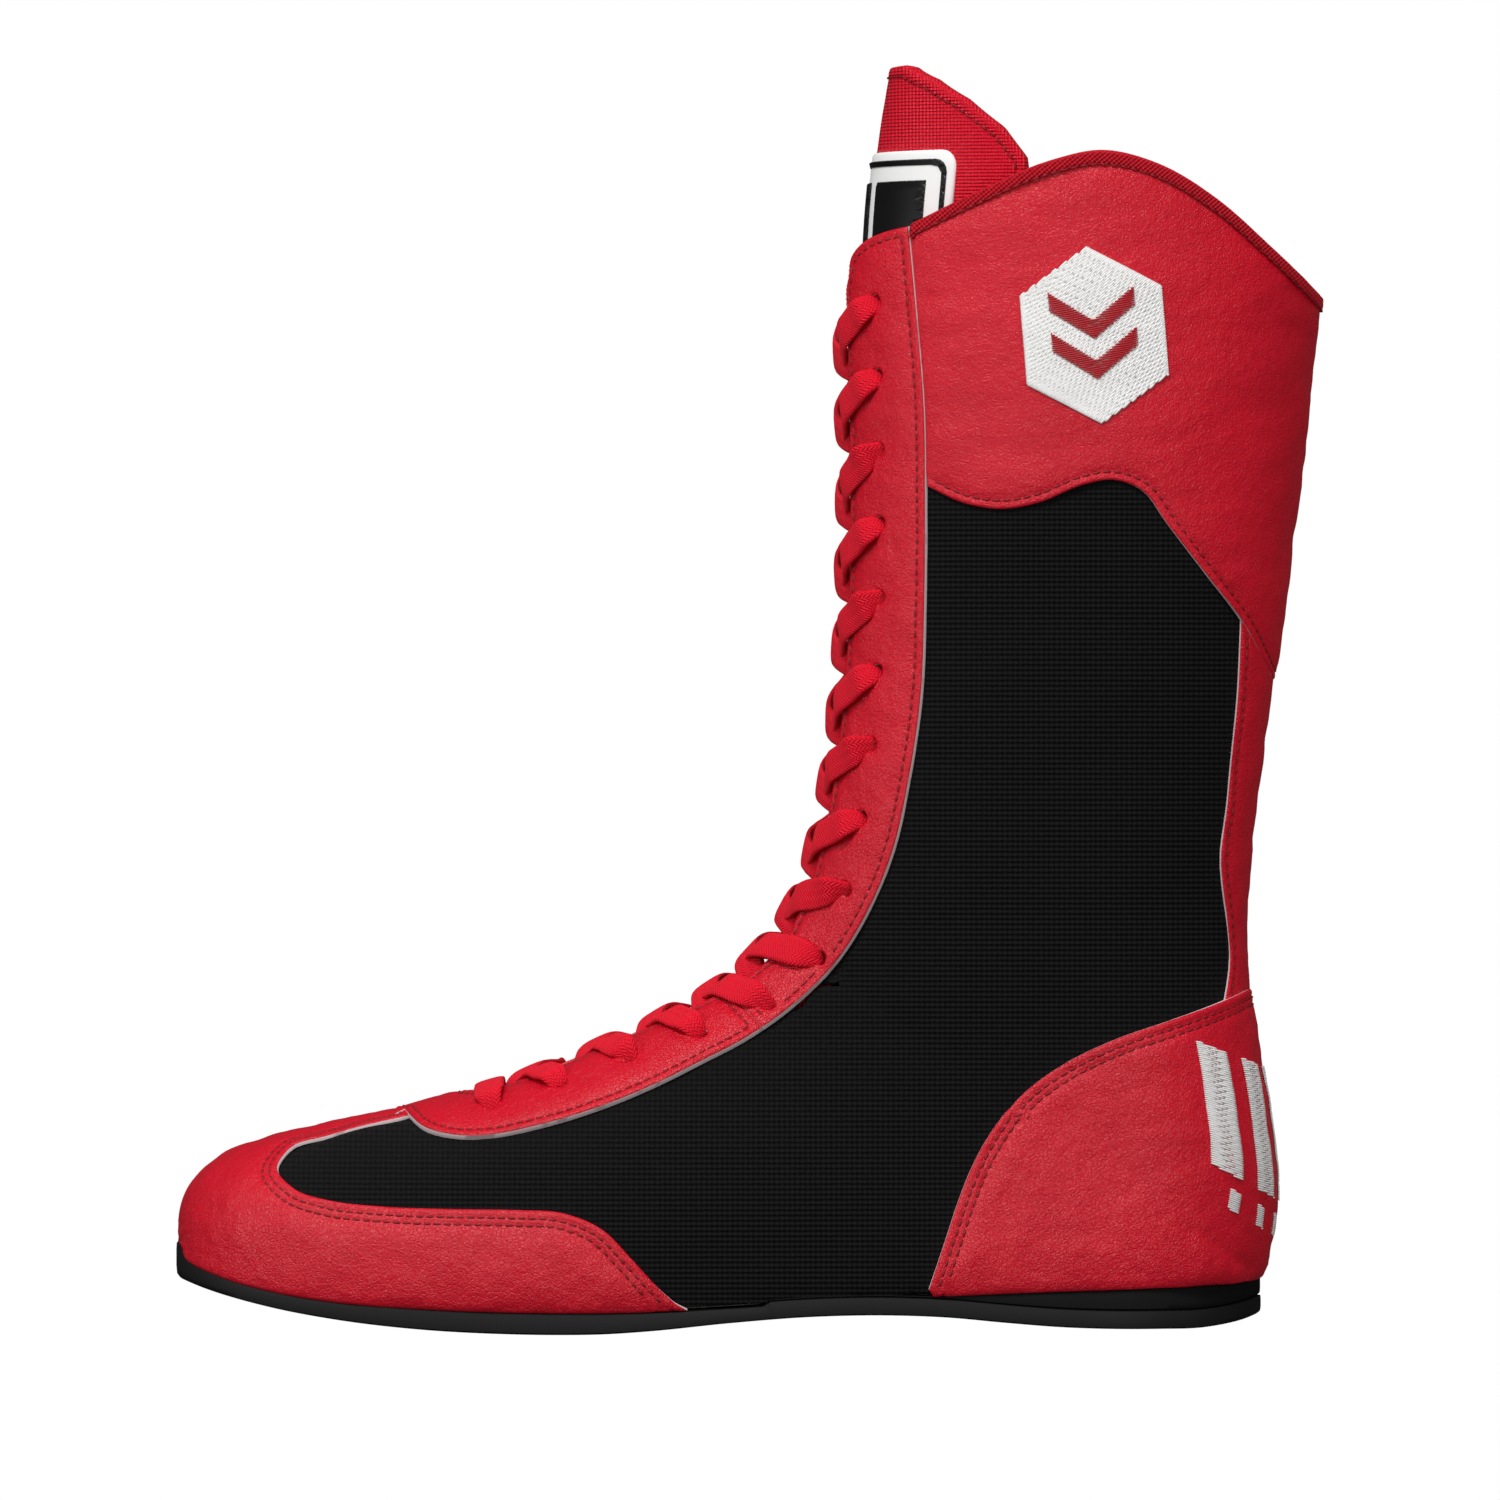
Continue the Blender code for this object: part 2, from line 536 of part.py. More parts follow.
def backstay_outline():
    edge = line_on_last(BACKSTAY_EDGE)
    low = line_on_last(COLLAR_LOWER)
    low[-1, 1] = 1.0
    top = shifted(low[low[:, 1] > edge[0][1]], 2 * GAP)
    heel = line_on_last(HEEL_TOP, 3)
    heel[0, 1] = 1.0
    bottom = shifted(heel[(heel[:, 1] > edge[-1][1] + 0.02) & (heel[:, 0] > K_HEEL + 20)], -7 * GAP)
    edge = edge[edge[:, 0] < top[0][0] - 3]
    lateral = joined(top[::-1], edge, bottom[::-1])
    return joined(lateral, round_the_back(lateral))


def heel_outline(line, k_to, sole_places=4):
    """A piece round the heel: from its edge line down to the sole, and the same on the other side."""
    line = line_on_last(line, 3)
    line[0, 1] = 1.0
    line = np.array([place for place in line if place[0] > K_HEEL or place[1] < EDGE_S - 0.02])
    sole = np.column_stack([np.linspace(line[-1][0], k_to, sole_places), np.full(sole_places, EDGE_S)])
    lateral = joined(line, sole)
    return joined(lateral, [(k_to + 1, 1.0)], round_the_back(lateral))


def toe_puff_outline():
    """The stiffener inside the toe cap: its rear edge is a little further back on the centre line."""
    back = KNOTS[PUFF_SECTION]
    sole = np.column_stack([np.linspace(TIP_OPEN, back, 4), np.full(4, EDGE_S)])
    half = joined(sole, [(back + 4, 0.7), (back + 6, 0.4), (back + 7, 0.0)])
    return joined(half, mirrored(half))


def heel_badge_outline():
    k = locate(*HEEL_BADGE_AT)[0]
    lateral, medial = HEEL_BADGE_S
    low, high = k - HEEL_BADGE_HALF, k + HEEL_BADGE_HALF
    return [(low, lateral), (low, medial), (high, medial), (high, lateral)]


def binding_outline():
    top = collar_edge()
    low = shifted(top, BINDING_WIDTH)
    top[0, 1] += 0.02
    low[0, 1] += 0.02
    return joined(top, round_the_back(top), round_the_back(low)[::-1], low[::-1])


# The sole units and boards

def sole_ring(outset, count=44):
    """The plan view of the sole edge, moved outwards, as an evenly spaced loop."""
    ks = np.linspace(0, K_HEEL, 400)
    edge = np.concatenate([last_point(ks, 1.0), last_point(ks[::-1], -1.0)])[:, :2]
    length = np.concatenate([[0], np.cumsum(np.linalg.norm(np.diff(edge, axis=0), axis=1))])
    even = np.linspace(0, length[-1], count, endpoint=False)
    ring = np.column_stack([np.interp(even, length, edge[:, 0]), np.interp(even, length, edge[:, 1])])
    along = np.roll(ring, -1, axis=0) - np.roll(ring, 1, axis=0)
    outward = np.column_stack([-along[:, 1], along[:, 0]])
    outward /= np.linalg.norm(outward, axis=1, keepdims=True)
    area = np.sum(ring[:, 0] * np.roll(ring[:, 1], -1) - ring[:, 1] * np.roll(ring[:, 0], -1))
    return ring + outward * (-outset if area > 0 else outset)


def edge_height(x):
    """The height of the sole edge at each x."""
    table = SECTION_TABLE[:HEEL_SECTION + 1]
    return np.interp(x, table[:, 2], table[:, 3])


def ground_height(x):
    xs, zs = np.array(SOLE_BOTTOM).T
    return np.interp(x, xs, zs)


def midsole_floor(x):
    return ground_height(x) + OUTSOLE_THICK


def prism(name, loop, half_depth, side_view, collection):
    """A flat outline extruded both ways: up and down, or across the boot if it is a side view."""
    curve = bpy.data.curves.new(name + "_outline", "CURVE")
    curve.dimensions = "2D"
    curve.fill_mode = "BOTH"
    curve.extrude = half_depth * MM
    spline = curve.splines.new("POLY")
    spline.points.add(len(loop) - 1)
    for point, (a, b) in zip(spline.points, loop):
        point.co = (a * MM, b * MM, 0, 1)
    spline.use_cyclic_u = True
    guide = bpy.data.objects.new(name + "_guide", curve)
    collection.objects.link(guide)
    if side_view:
        guide.rotation_euler.x = math.pi / 2
    bpy.context.view_layer.update()
    ready = guide.evaluated_get(bpy.context.evaluated_depsgraph_get())
    mesh = bpy.data.meshes.new_from_object(ready)
    mesh.transform(guide.matrix_world)
    bpy.data.objects.remove(guide)
    merged = bmesh.new()
    merged.from_mesh(mesh)
    bmesh.ops.remove_doubles(merged, verts=merged.verts, dist=0.00001)
    bmesh.ops.recalc_face_normals(merged, faces=merged.faces)
    merged.to_mesh(mesh)
    merged.free()
    obj = bpy.data.objects.new(name, mesh)
    collection.objects.link(obj)
    return obj


def sole_part(name, outset, xs, floor, top, material, origin=(0, 0, 0)):
    """A plan outline cut by a side view: the floor and top are heights along x."""
    body = prism(name, sole_ring(outset), 60, False, BOOT)
    side = [(x, floor(x)) for x in xs] + [(x, top(x)) for x in xs[::-1]]
    cutter = prism(name + "_side", side, 90, True, CUTTERS)
    cutter.hide_render = True
    cutter.display_type = "WIRE"
    cut = body.modifiers.new("side view", "BOOLEAN")
    cut.operation = "INTERSECT"
    cut.solver = "EXACT"
    cut.object = cutter
    body.data.materials.append(material)
    place_origin(body, origin)
    return body


def place_origin(obj, origin_mm):
    """Puts an object's origin on its joint without moving its shape."""
    shift = Vector(origin_mm) * MM
    obj.data.transform(Matrix.Translation(-shift))
    obj.location = shift


SOLE_XS = np.array([-245, -238, -232, -222, -210, -193, -172, -150, -130, -105, -85], float)
HEEL_XS = np.array([MIDSOLE_START_X, -60, -35, 0, 22, 36, 44, 54], float)


def build_sole():
    rubber = make_material("sole_rubber", (0.012, 0.012, 0.013), 0.62)
    foam = make_material("midsole_foam", (0.008, 0.008, 0.009), 0.75)
    board = make_material("board_fibre", (0.42, 0.34, 0.24), 0.9)
    cloth = make_material("sockliner_cloth", (0.03, 0.03, 0.032), 0.95)
    xs = np.concatenate([SOLE_XS, HEEL_XS])
    sole_part("outsole", WELT, xs, ground_height,
              lambda x: edge_height(x) - 2 * GAP if x < MIDSOLE_START_X else midsole_floor(x), rubber)
    sole_part("midsole", WELT, HEEL_XS, lambda x: midsole_floor(x) + GAP,
              lambda x: edge_height(x) - GAP, foam)
    sole_part("insole_board", -BOARD_INSET, xs, lambda x: edge_height(x) + GAP,
              lambda x: edge_height(x) + BOARD_THICK, board)
    sole_part("sockliner", -BOARD_INSET - 0.4, xs, lambda x: edge_height(x) + BOARD_THICK + GAP,
              lambda x: edge_height(x) + BOARD_THICK + SOCK_THICK, cloth, SOCK_PIVOT)


# The lace

STRAND_SHARES = (0.12, 0.22, 0.32, 0.5, 0.68, 0.78, 0.88)


def strand_offsets(n):
    """The lace's height over the last along strand n: down one side, across the front, up the other."""
    middle = OVER_OFFSET if (n % 2 == 1) != (n >= EYELET_PAIRS) else CROSS_OFFSET
    rising = [UNDER_OFFSET] * 3 + [middle] + [TOP_OFFSET] * 3
    if n < EYELET_PAIRS - 1:
        return rising[::-1]
    return [TOP_OFFSET] * 7 if n == EYELET_PAIRS - 1 else rising


def lace_stops():
    """Every eyelet in the order the lace visits them, from the lateral top one."""
    down = [(i, 1 if i % 2 == 0 else -1) for i in range(EYELET_PAIRS - 1, -1, -1)]
    order = down + [(i, -side) for i, side in down[::-1]]
    return [(EYELETS[i][0], EYELETS[i][1] * side) for i, side in order]


def ribbon(name, points, wide, thick, material, origin=(0, 0, 0)):
    """A closed ribbon: a rectangle at each point, spanned by a width and a thickness vector."""
    verts = []
    for p, w, t in zip(points, wide, thick):
        verts += [p - w - t, p + w - t, p + w + t, p - w + t]
    faces = [(3, 2, 1, 0)]
    for i in range(len(points) - 1):
        for j in range(4):
            a, b = 4 * i + j, 4 * i + (j + 1) % 4
            faces.append((a, b, b + 4, a + 4))
    n = len(verts)
    faces.append((n - 4, n - 3, n - 2, n - 1))
    obj = add_object(name, verts, faces, material)
    outward = bmesh.new()
    outward.from_mesh(obj.data)
    bmesh.ops.recalc_face_normals(outward, faces=outward.faces)
    outward.to_mesh(obj.data)
    outward.free()
    place_origin(obj, origin)
    return obj


def lace_path():
    """The lace's points, with a width and a thickness vector at each."""
    stops = lace_stops()
    parts = [hole_turn(stops, 0, 1)]
    for n in range(len(stops) - 1):
        (k0, s0), (k1, s1) = stops[n], stops[n + 1]
        flip = 1 if n % 2 == 0 else -1
        places = np.array([(k0 + (k1 - k0) * q, s0 + (s1 - s0) * q) for q in STRAND_SHARES])
        offsets = np.array(strand_offsets(n))[:, None]
        centre = on_facets(places, offsets)
        normal = on_facets(places, offsets + 1) - centre
        along = np.gradient(centre, axis=0)
        across = np.cross(along, normal)
        across /= np.linalg.norm(across, axis=1, keepdims=True)
        up = np.cross(across, along)
        up /= np.linalg.norm(up, axis=1, keepdims=True)
        parts += [(centre, flip * LACE_HALF * across, flip * LACE_THICK / 2 * up),
                  hole_turn(stops, n + 1, -flip)]
    return [np.concatenate(values) for values in zip(*parts)]


def hole_turn(stops, n, flip):
    """The gathered length of lace that goes through the hole at stop n and turns back."""
    centre = on_facets([stops[n]], 0.0)[0]
    normal = on_facets([stops[n]], 1.0)[0] - centre
    first, final = n == 0, n == len(stops) - 1
    come = np.zeros(3) if first else way_to(stops[n - 1], centre, normal)
    go = np.zeros(3) if final else way_to(stops[n + 1], centre, normal)
    came = -np.cross(come, normal) if not first else np.cross(go, normal)
    left = np.cross(go, normal) if not final else came
    start = UNDER_OFFSET if first else strand_offsets(n - 1)[-1]
    end = UNDER_OFFSET if final else strand_offsets(n)[0]
    inward = 0.8 if start < end else -0.8
    steps = ((come, 1.0, start, 1.0), (come, 0.1, start + inward, 0.7),
             (go, 0.1, end - inward, 0.3), (go, 1.0, end, 0.0))
    if first or final:
        steps = steps[1:] if first else steps[:3]
    points = np.array([centre + way * far + normal * offset for way, far, offset, _ in steps])
    wide, thick = [], []
    for (_, _, _, share), forward in zip(steps, np.gradient(points, axis=0)):
        w = came * share * (1 if first or final else -1) + left * (1 - share)
        t = np.cross(w, forward)
        wide.append(flip * w / np.linalg.norm(w) * BUNCH)
        thick.append(flip * t / np.linalg.norm(t) * LACE_THICK / 2)
    return points, np.array(wide), np.array(thick)


def way_to(other, centre, normal):
    """The unit direction along the surface from a hole towards another."""
    way = on_facets([other], 0.0)[0] - centre
    way -= normal * way.dot(normal)
    return way / np.linalg.norm(way)


def build_lace():
    woven = make_material("lace_weave", (0.60, 0.004, 0.022), 0.7)
    ribbon("lace", *lace_path(), woven)
    tip = make_material("aglet_plastic", (0.45, 0.004, 0.018), 0.3)
    for side, word in ((1, "lateral"), (-1, "medial")):
        k = EYELETS[-1][0] - TAIL_BELOW
        place = [(k, side * s_of_arc(k, TAIL_ARC))]
        top = on_facets(place, TAIL_OFFSET)[0]
        normal = on_facets(place, TAIL_OFFSET + 1)[0] - top
        slide = np.array([0.0, 0.0, 1.0])
        normal -= slide * normal.dot(slide)
        normal /= np.linalg.norm(normal)
        across = np.cross(slide, normal)
        heights = np.array([0.0, -25.0, -50.0, -TAIL_LENGTH])
        points = top + heights[:, None] * slide
        half = TAIL_HALF * np.array([[1.0], [1.0], [1.0], [0.6]])
        ribbon(f"lace_end_{word}", points, across * half, np.repeat(normal[None] * LACE_THICK / 2, 4, 0),
               woven, top)
        start = top - slide * (TAIL_LENGTH + GAP)
        heights = np.array([0.0, -1.0, -AGLET_LENGTH + 1.0, -AGLET_LENGTH])
        half = AGLET_HALF * np.array([[0.8], [1.0], [1.0], [0.7]])
        ribbon(f"aglet_{word}", start + heights[:, None] * slide, across * half,
               normal * half * AGLET_FLATNESS, tip, top)


def build_upper():
    leather = make_material("red_leather", (0.42, 0.006, 0.022), 0.42)
    textile = make_material("black_textile", (0.008, 0.008, 0.009), 0.9)
    lining = make_material("lining_cloth", (0.02, 0.02, 0.021), 0.95)
    stiff = make_material("stiffener_board", (0.5, 0.46, 0.38), 0.9)
    tape = make_material("binding_weave", (0.5, 0.012, 0.035), 0.65)
    web = make_material("eyelet_webbing", (0.015, 0.015, 0.016), 0.9)
    badge = make_material("badge_embroidery", (0.8, 0.8, 0.8), 0.6)
    for side, word in ((1, "lateral"), (-1, "medial")):
        sheet(f"quarter_{word}", TEXTILE, textile, half_upper(side, 0.0))
        sheet(f"lining_{word}", LINING, lining, half_upper(side, 0.3))
        sheet(f"facing_{word}", OVERLAY, leather, facing_outline(side), eyelet_holes(side, 4, EYELET_PAIRS))
        sheet(f"eyelet_tape_{word}", TEXTILE, web, tape_outline(side, K_THROAT + 1, K_FACING_TOP - 1),
              eyelet_holes(side, 0, EYELET_PAIRS))
        sheet(f"badge_{word}", BADGE, badge, disc_at(locate(*BADGE_AT), BADGE_RADIUS) * (1, side))
    sheet("toe_cap", OVERLAY, leather, toe_cap_outline())
    sheet("throat_stay", OVERLAY, leather, stay_outline(), eyelet_holes(1, 0, 4) + eyelet_holes(-1, 0, 4))
    sheet("collar_panel", OVERLAY, leather, collar_outline())
    sheet("backstay", OVERLAY, leather, backstay_outline())
    sheet("heel_cap", OVERLAY, leather, heel_outline(HEEL_TOP, K_HEEL))
    sheet("heel_counter", STIFFENER, stiff, heel_outline(COUNTER_TOP, K_HEEL))
    sheet("toe_puff", STIFFENER, stiff, toe_puff_outline())
    sheet("collar_binding", BINDING, tape, binding_outline())
    sheet("heel_badge", BADGE, badge, heel_badge_outline())


def tongue_half_width(k):
    """The tongue's half-width, as s, at each k."""
    ks, widths = np.array(TONGUE_WIDTHS).T
    return np.interp(k, ks, widths)


def tongue_outline(inset):
    """The tongue's outline, moved inwards by a distance along the surface."""
    base = k_of_front(TONGUE_BASE_X) + inset
    rounding = np.array([k for k, _ in TONGUE_WIDTHS if k > TONGUE_SHOULDER], float)
    ks = np.concatenate([np.linspace(base, TONGUE_SHOULDER, 8), rounding])
    widths = tongue_half_width(ks) - inset / MM_PER_S
    rise = np.maximum(ks - TONGUE_SHOULDER, 0) / (rounding[-1] - TONGUE_SHOULDER)
    ks, widths = (ks - inset * rise)[widths > 0.02], widths[widths > 0.02]
    side = np.column_stack([ks, widths])
    return joined(side, mirrored(side))


def patch_outline(margin):
    """The patch's outline, moved inwards by a margin."""
    low, high = (locate(PATCH_X, z)[0] for z in (PATCH_LOW, PATCH_HIGH))
    side = arc_line(low + margin, high - margin, PATCH_HALF - margin, 6)
    return joined(side, mirrored(side))


def build_tongue():
    satin = make_material("tongue_satin", (0.55, 0.02, 0.05), 0.4)
    foam = make_material("tongue_foam", (0.55, 0.5, 0.3), 0.95)
    cloth = make_material("tongue_lining_cloth", (0.02, 0.02, 0.021), 0.95)
    edge = make_material("tongue_binding_weave", (0.5, 0.012, 0.035), 0.65)
    rubber = make_material("patch_rubber", (0.82, 0.82, 0.82), 0.5)
    ink = make_material("patch_ink", (0.01, 0.01, 0.01), 0.5)
    inner = tongue_outline(BINDING_WIDTH + TONGUE_CLEAR)
    pieces = [sheet("tongue", TONGUE_FACE, satin, inner), sheet("tongue_padding", TONGUE_PAD, foam, inner),
              sheet("tongue_lining", TONGUE_BACK, cloth, inner),
              sheet("tongue_binding", TONGUE_EDGE, edge, tongue_outline(0.0),
                    [tongue_outline(BINDING_WIDTH)])]
    outside, inside = (patch_outline(margin) for margin in INLAY_MARGINS)
    pieces += [sheet("tongue_patch", PATCH, rubber, patch_outline(0.0)),
               sheet("tongue_patch_inlay", INLAY, ink, outside, [inside])]
    for piece in pieces:
        place_origin(piece, TONGUE_PIVOT)


clear_scene()
BOOT = bpy.data.collections.new("boxing_boot")
CUTTERS = bpy.data.collections.new("cutters")
bpy.context.scene.collection.children.link(BOOT)
bpy.context.scene.collection.children.link(CUTTERS)
build_sole()
build_upper()
build_tongue()
build_lace()
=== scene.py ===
"""The looks of the boxing boot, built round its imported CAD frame.

Lengths in tables are millimetres. A place on the boot is (k, s): k runs along the boot from the toe
tip round the heel and up the shaft, and s runs across it, 0 on the centre line in front and 1 at the
sole edge or the back seam. Lateral is s above 0, medial below, and 1 to 2 reaches the medial side
round the back.
"""

import math

import bpy
import numpy as np
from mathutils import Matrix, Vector, noise
from mathutils.geometry import delaunay_2d_cdt
from mathutils.kdtree import KDTree


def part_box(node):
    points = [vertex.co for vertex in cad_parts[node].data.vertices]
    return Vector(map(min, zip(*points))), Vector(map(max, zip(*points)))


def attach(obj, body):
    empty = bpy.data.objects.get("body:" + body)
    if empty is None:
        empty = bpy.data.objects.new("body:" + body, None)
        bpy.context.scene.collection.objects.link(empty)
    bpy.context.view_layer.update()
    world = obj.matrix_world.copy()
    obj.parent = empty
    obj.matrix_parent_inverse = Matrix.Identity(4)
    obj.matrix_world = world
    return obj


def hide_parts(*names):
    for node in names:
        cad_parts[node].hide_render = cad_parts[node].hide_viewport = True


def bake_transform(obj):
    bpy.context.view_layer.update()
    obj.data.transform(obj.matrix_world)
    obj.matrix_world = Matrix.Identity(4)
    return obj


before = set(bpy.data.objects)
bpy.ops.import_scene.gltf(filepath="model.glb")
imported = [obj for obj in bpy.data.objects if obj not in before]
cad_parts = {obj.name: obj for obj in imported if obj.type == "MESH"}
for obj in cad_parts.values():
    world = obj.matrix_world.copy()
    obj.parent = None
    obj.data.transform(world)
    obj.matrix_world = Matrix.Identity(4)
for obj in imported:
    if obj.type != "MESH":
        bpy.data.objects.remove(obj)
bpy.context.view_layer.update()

# The frame gives the scale: the sole is 285 of the tables' millimetres long
SOLE_LENGTH = 285.0
SOLE_BACK = 48.0
SOLE_LOW, SOLE_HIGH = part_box("outsole")
MM = (SOLE_HIGH.x - SOLE_LOW.x) / SOLE_LENGTH
ORIGIN = np.array([SOLE_HIGH.x - SOLE_BACK * MM, 0.0, SOLE_LOW.z])

LEATHER = 1.4  # the overlays' height over the last
FACING_HIGH = 2.1  # the facing and stay lie over the other overlays
STITCH_IN = 2.2  # first stitch row from a panel's edge
STITCH_ROW = 1.9  # from one row to the next
THROAT_ARC = 13.5  # distances round from the front centre line
EYELET_ARC = 26.0
LINING_ARC = 31.5
EYELET_PAIRS = 15
STAY_PAIRS = 4  # of them in the throat stay
EYELET_RADIUS = 1.9
LACE_HALF = 4.1
ACROSS = 90.0  # a unit of s is about this wide
HEEL_CENTRE_X = 12.0  # the heel's wall is about a cylinder
HEEL_RADIUS = 33.0
SOLE_EDGE = 0.996  # the s of the overlays' sole edge

# Each cut across the last: its top's x and z, its bottom's x and z, its half widths on the lateral
# and medial sides, its top's sideways shift, the shares of it that its top and bottom rounding
# take, and how open it is at the sole
SECTIONS = (
    (-235.4, 25.3, -235.4, 23.7, 0.5, 0.5, 6.0, 0.60, 0.20, 1.00),
    (-234.7, 30.6, -234.7, 20.8, 6.3, 6.3, 6.0, 0.60, 0.20, 0.98),
    (-232.7, 36.0, -232.7, 18.4, 12.8, 12.8, 6.0, 0.60, 0.20, 0.96),
    (-229.0, 40.8, -229.0, 16.6, 19.5, 20.0, 6.0, 0.62, 0.22, 0.95),
    (-223.0, 45.0, -223.0, 14.3, 26.0, 28.0, 5.5, 0.64, 0.22, 0.95),
    (-213.0, 48.8, -213.0, 11.6, 32.5, 35.0, 5.0, 0.66, 0.22, 0.95),
    (-198.0, 52.6, -198.0, 9.0, 39.0, 40.0, 4.5, 0.68, 0.22, 0.95),
    (-173.0, 57.8, -173.0, 7.0, 44.5, 44.5, 3.5, 0.72, 0.20, 0.95),
    (-146.0, 65.2, -146.0, 6.0, 48.0, 45.5, 2.5, 0.78, 0.18, 0.95),
    (-124.0, 74.3, -116.0, 6.0, 48.5, 43.0, 1.5, 0.80, 0.18, 0.95),
    (-107.5, 82.4, -75.0, 8.0, 45.0, 37.5, 1.0, 0.78, 0.18, 0.94),
    (-97.5, 88.0, -35.0, 10.0, 40.0, 33.5, 0.5, 0.70, 0.18, 0.93),
    (-90.5, 92.8, 0.0, 11.2, 36.0, 32.0, 0.0, 0.60, 0.18, 0.93),
    (-86.0, 96.6, 22.0, 12.0, 34.5, 32.0, 0.0, 0.55, 0.20, 0.88),
    (-83.0, 99.4, 35.0, 13.0, 33.8, 32.0, 0.0, 0.52, 0.22, 0.70),
    (-81.2, 101.4, 42.3, 13.8, 33.4, 32.0, 0.0, 0.50, 0.23, 0.42),
    (-79.8, 103.2, 46.4, 15.0, 33.2, 32.0, 0.0, 0.50, 0.24, 0.00),
    (-78.4, 105.6, 48.6, 23.0, 33.0, 32.0, 0.0, 0.48, 0.25, 0.00),
    (-76.6, 109.0, 49.8, 37.0, 33.0, 32.0, 0.0, 0.47, 0.27, 0.00),
    (-73.8, 114.5, 48.0, 56.0, 33.2, 32.2, 0.0, 0.46, 0.31, 0.00),
    (-71.0, 121.5, 44.6, 79.0, 33.6, 32.8, 0.0, 0.46, 0.36, 0.00),
    (-68.2, 131.0, 42.7, 102.0, 34.2, 33.6, 0.0, 0.47, 0.42, 0.00),
    (-65.8, 144.0, 43.9, 124.0, 35.0, 34.6, 0.0, 0.48, 0.46, 0.00),
    (-63.4, 162.0, 47.5, 154.0, 36.2, 36.0, 0.0, 0.50, 0.50, 0.00),
    (-61.6, 187.0, 51.8, 187.0, 37.6, 37.6, 0.0, 0.50, 0.50, 0.00),
    (-61.0, 218.0, 55.6, 218.0, 39.0, 39.0, 0.0, 0.50, 0.50, 0.00),
    (-61.4, 250.0, 59.2, 250.0, 40.0, 40.0, 0.0, 0.50, 0.50, 0.00),
    (-62.0, 280.0, 62.6, 280.0, 40.5, 40.5, 0.0, 0.50, 0.50, 0.00),
    (-59.6, 310.0, 65.0, 310.0, 40.5, 40.5, 0.0, 0.50, 0.50, 0.00),
    (-54.6, 340.0, 66.6, 340.0, 40.5, 40.5, 0.0, 0.50, 0.50, 0.00),
)
HEEL_SECTION = 16  # the first cut of the shaft
ROUNDNESS = 2.2

# Lines of the pieces in the side view, as x and z
FACING_TOP = ((-59.0, 276.0), (-58.4, 281.0), (-55.5, 284.6), (-50.5, 287.0), (-44.3, 288.5))
FACING_REAR = ((-44.3, 288), (-42.7, 270), (-40.3, 239), (-40.1, 218), (-40.3, 191), (-41.4, 165),
               (-44.5, 144), (-48.5, 126), (-55, 110), (-63, 97), (-76, 84), (-86.5, 76.6))
STAY_LOWER = ((-86.5, 76.6), (-99.6, 69.7), (-110, 64.5), (-126, 57.9), (-141.5, 53.2), (-154.6, 50.6),
              (-164, 50.6), (-171.6, 52.6), (-176.5, 56.5))
COLLAR_TOP = ((-44.3, 288.5), (-27, 297), (-8, 305), (5, 307.6), (20, 304), (35, 295), (48, 283.5),
              (57, 275), (62, 270))
COLLAR_LOWER = ((-40.2, 221), (-31, 216.5), (-21, 214.8), (-11, 216.5), (0, 221), (8, 222.4), (15, 220),
                (22, 211), (32, 198), (42, 185), (50, 170))
BACKSTAY_EDGE = ((42, 196), (41.6, 189), (40.5, 165), (39, 150), (37.5, 135), (36.2, 125), (38.0, 106),
                 (38.6, 98), (36.0, 80))
HEEL_TOP = ((43.4, 89.5), (36, 86.3), (23, 81.6), (9, 76.8), (-4, 70.6), (-14.5, 63.2), (-22.3, 54.5),
            (-27.6, 45.8), (-31.8, 36), (-36, 23.5), (-41, 9))
TOE_WINDOW = ((-103, 6), (-110, 12), (-117, 19.5), (-125, 27.5), (-135, 31.5), (-147, 32.2), (-165, 32.4),
              (-183.5, 33.0), (-196, 34.4), (-205, 37.2), (-209.6, 42.2), (-206.6, 47.0), (-197, 50.2),
              (-187, 53.0), (-177, 55.2))
THROAT_FRONT_X = -160.0
FIRST_EYELET_X = -153.5
STAY_FRONT_X = -179.0
STAY_SEAM_X = -94.0


# Small helpers

def unit(v):
    return v / np.maximum(np.linalg.norm(v, axis=-1, keepdims=True), 1e-9)


def lengths(points):
    """The length along a line up to each of its points."""
    return np.concatenate([[0], np.cumsum(np.linalg.norm(np.diff(points, axis=0), axis=1))])


def signed_area(loop):
    """Twice the area of a flat loop, positive where it runs counterclockwise."""
    after = np.roll(loop, -1, axis=0)
    return np.sum(loop[:, 0] * after[:, 1] - loop[:, 1] * after[:, 0])


def tree_of(points):
    tree = KDTree(len(points))
    for i, p in enumerate(points):
        tree.insert(p, i)
    tree.balance()
    return tree


def tube_faces(rings, around, closed=False):
    """Faces of a tube: rings of this many points, one after another, with caps unless it closes."""
    faces = []
    for r in range(rings if closed else rings - 1):
        a, b = r * around, (r + 1) % rings * around
        for i in range(around):
            j = (i + 1) % around
            faces.append((a + j, a + i, b + i, b + j))
    if not closed:
        last = (rings - 1) * around
        faces += [tuple(range(around)), tuple(last + around - 1 - i for i in range(around))]
    return faces


# The surface everything lies on

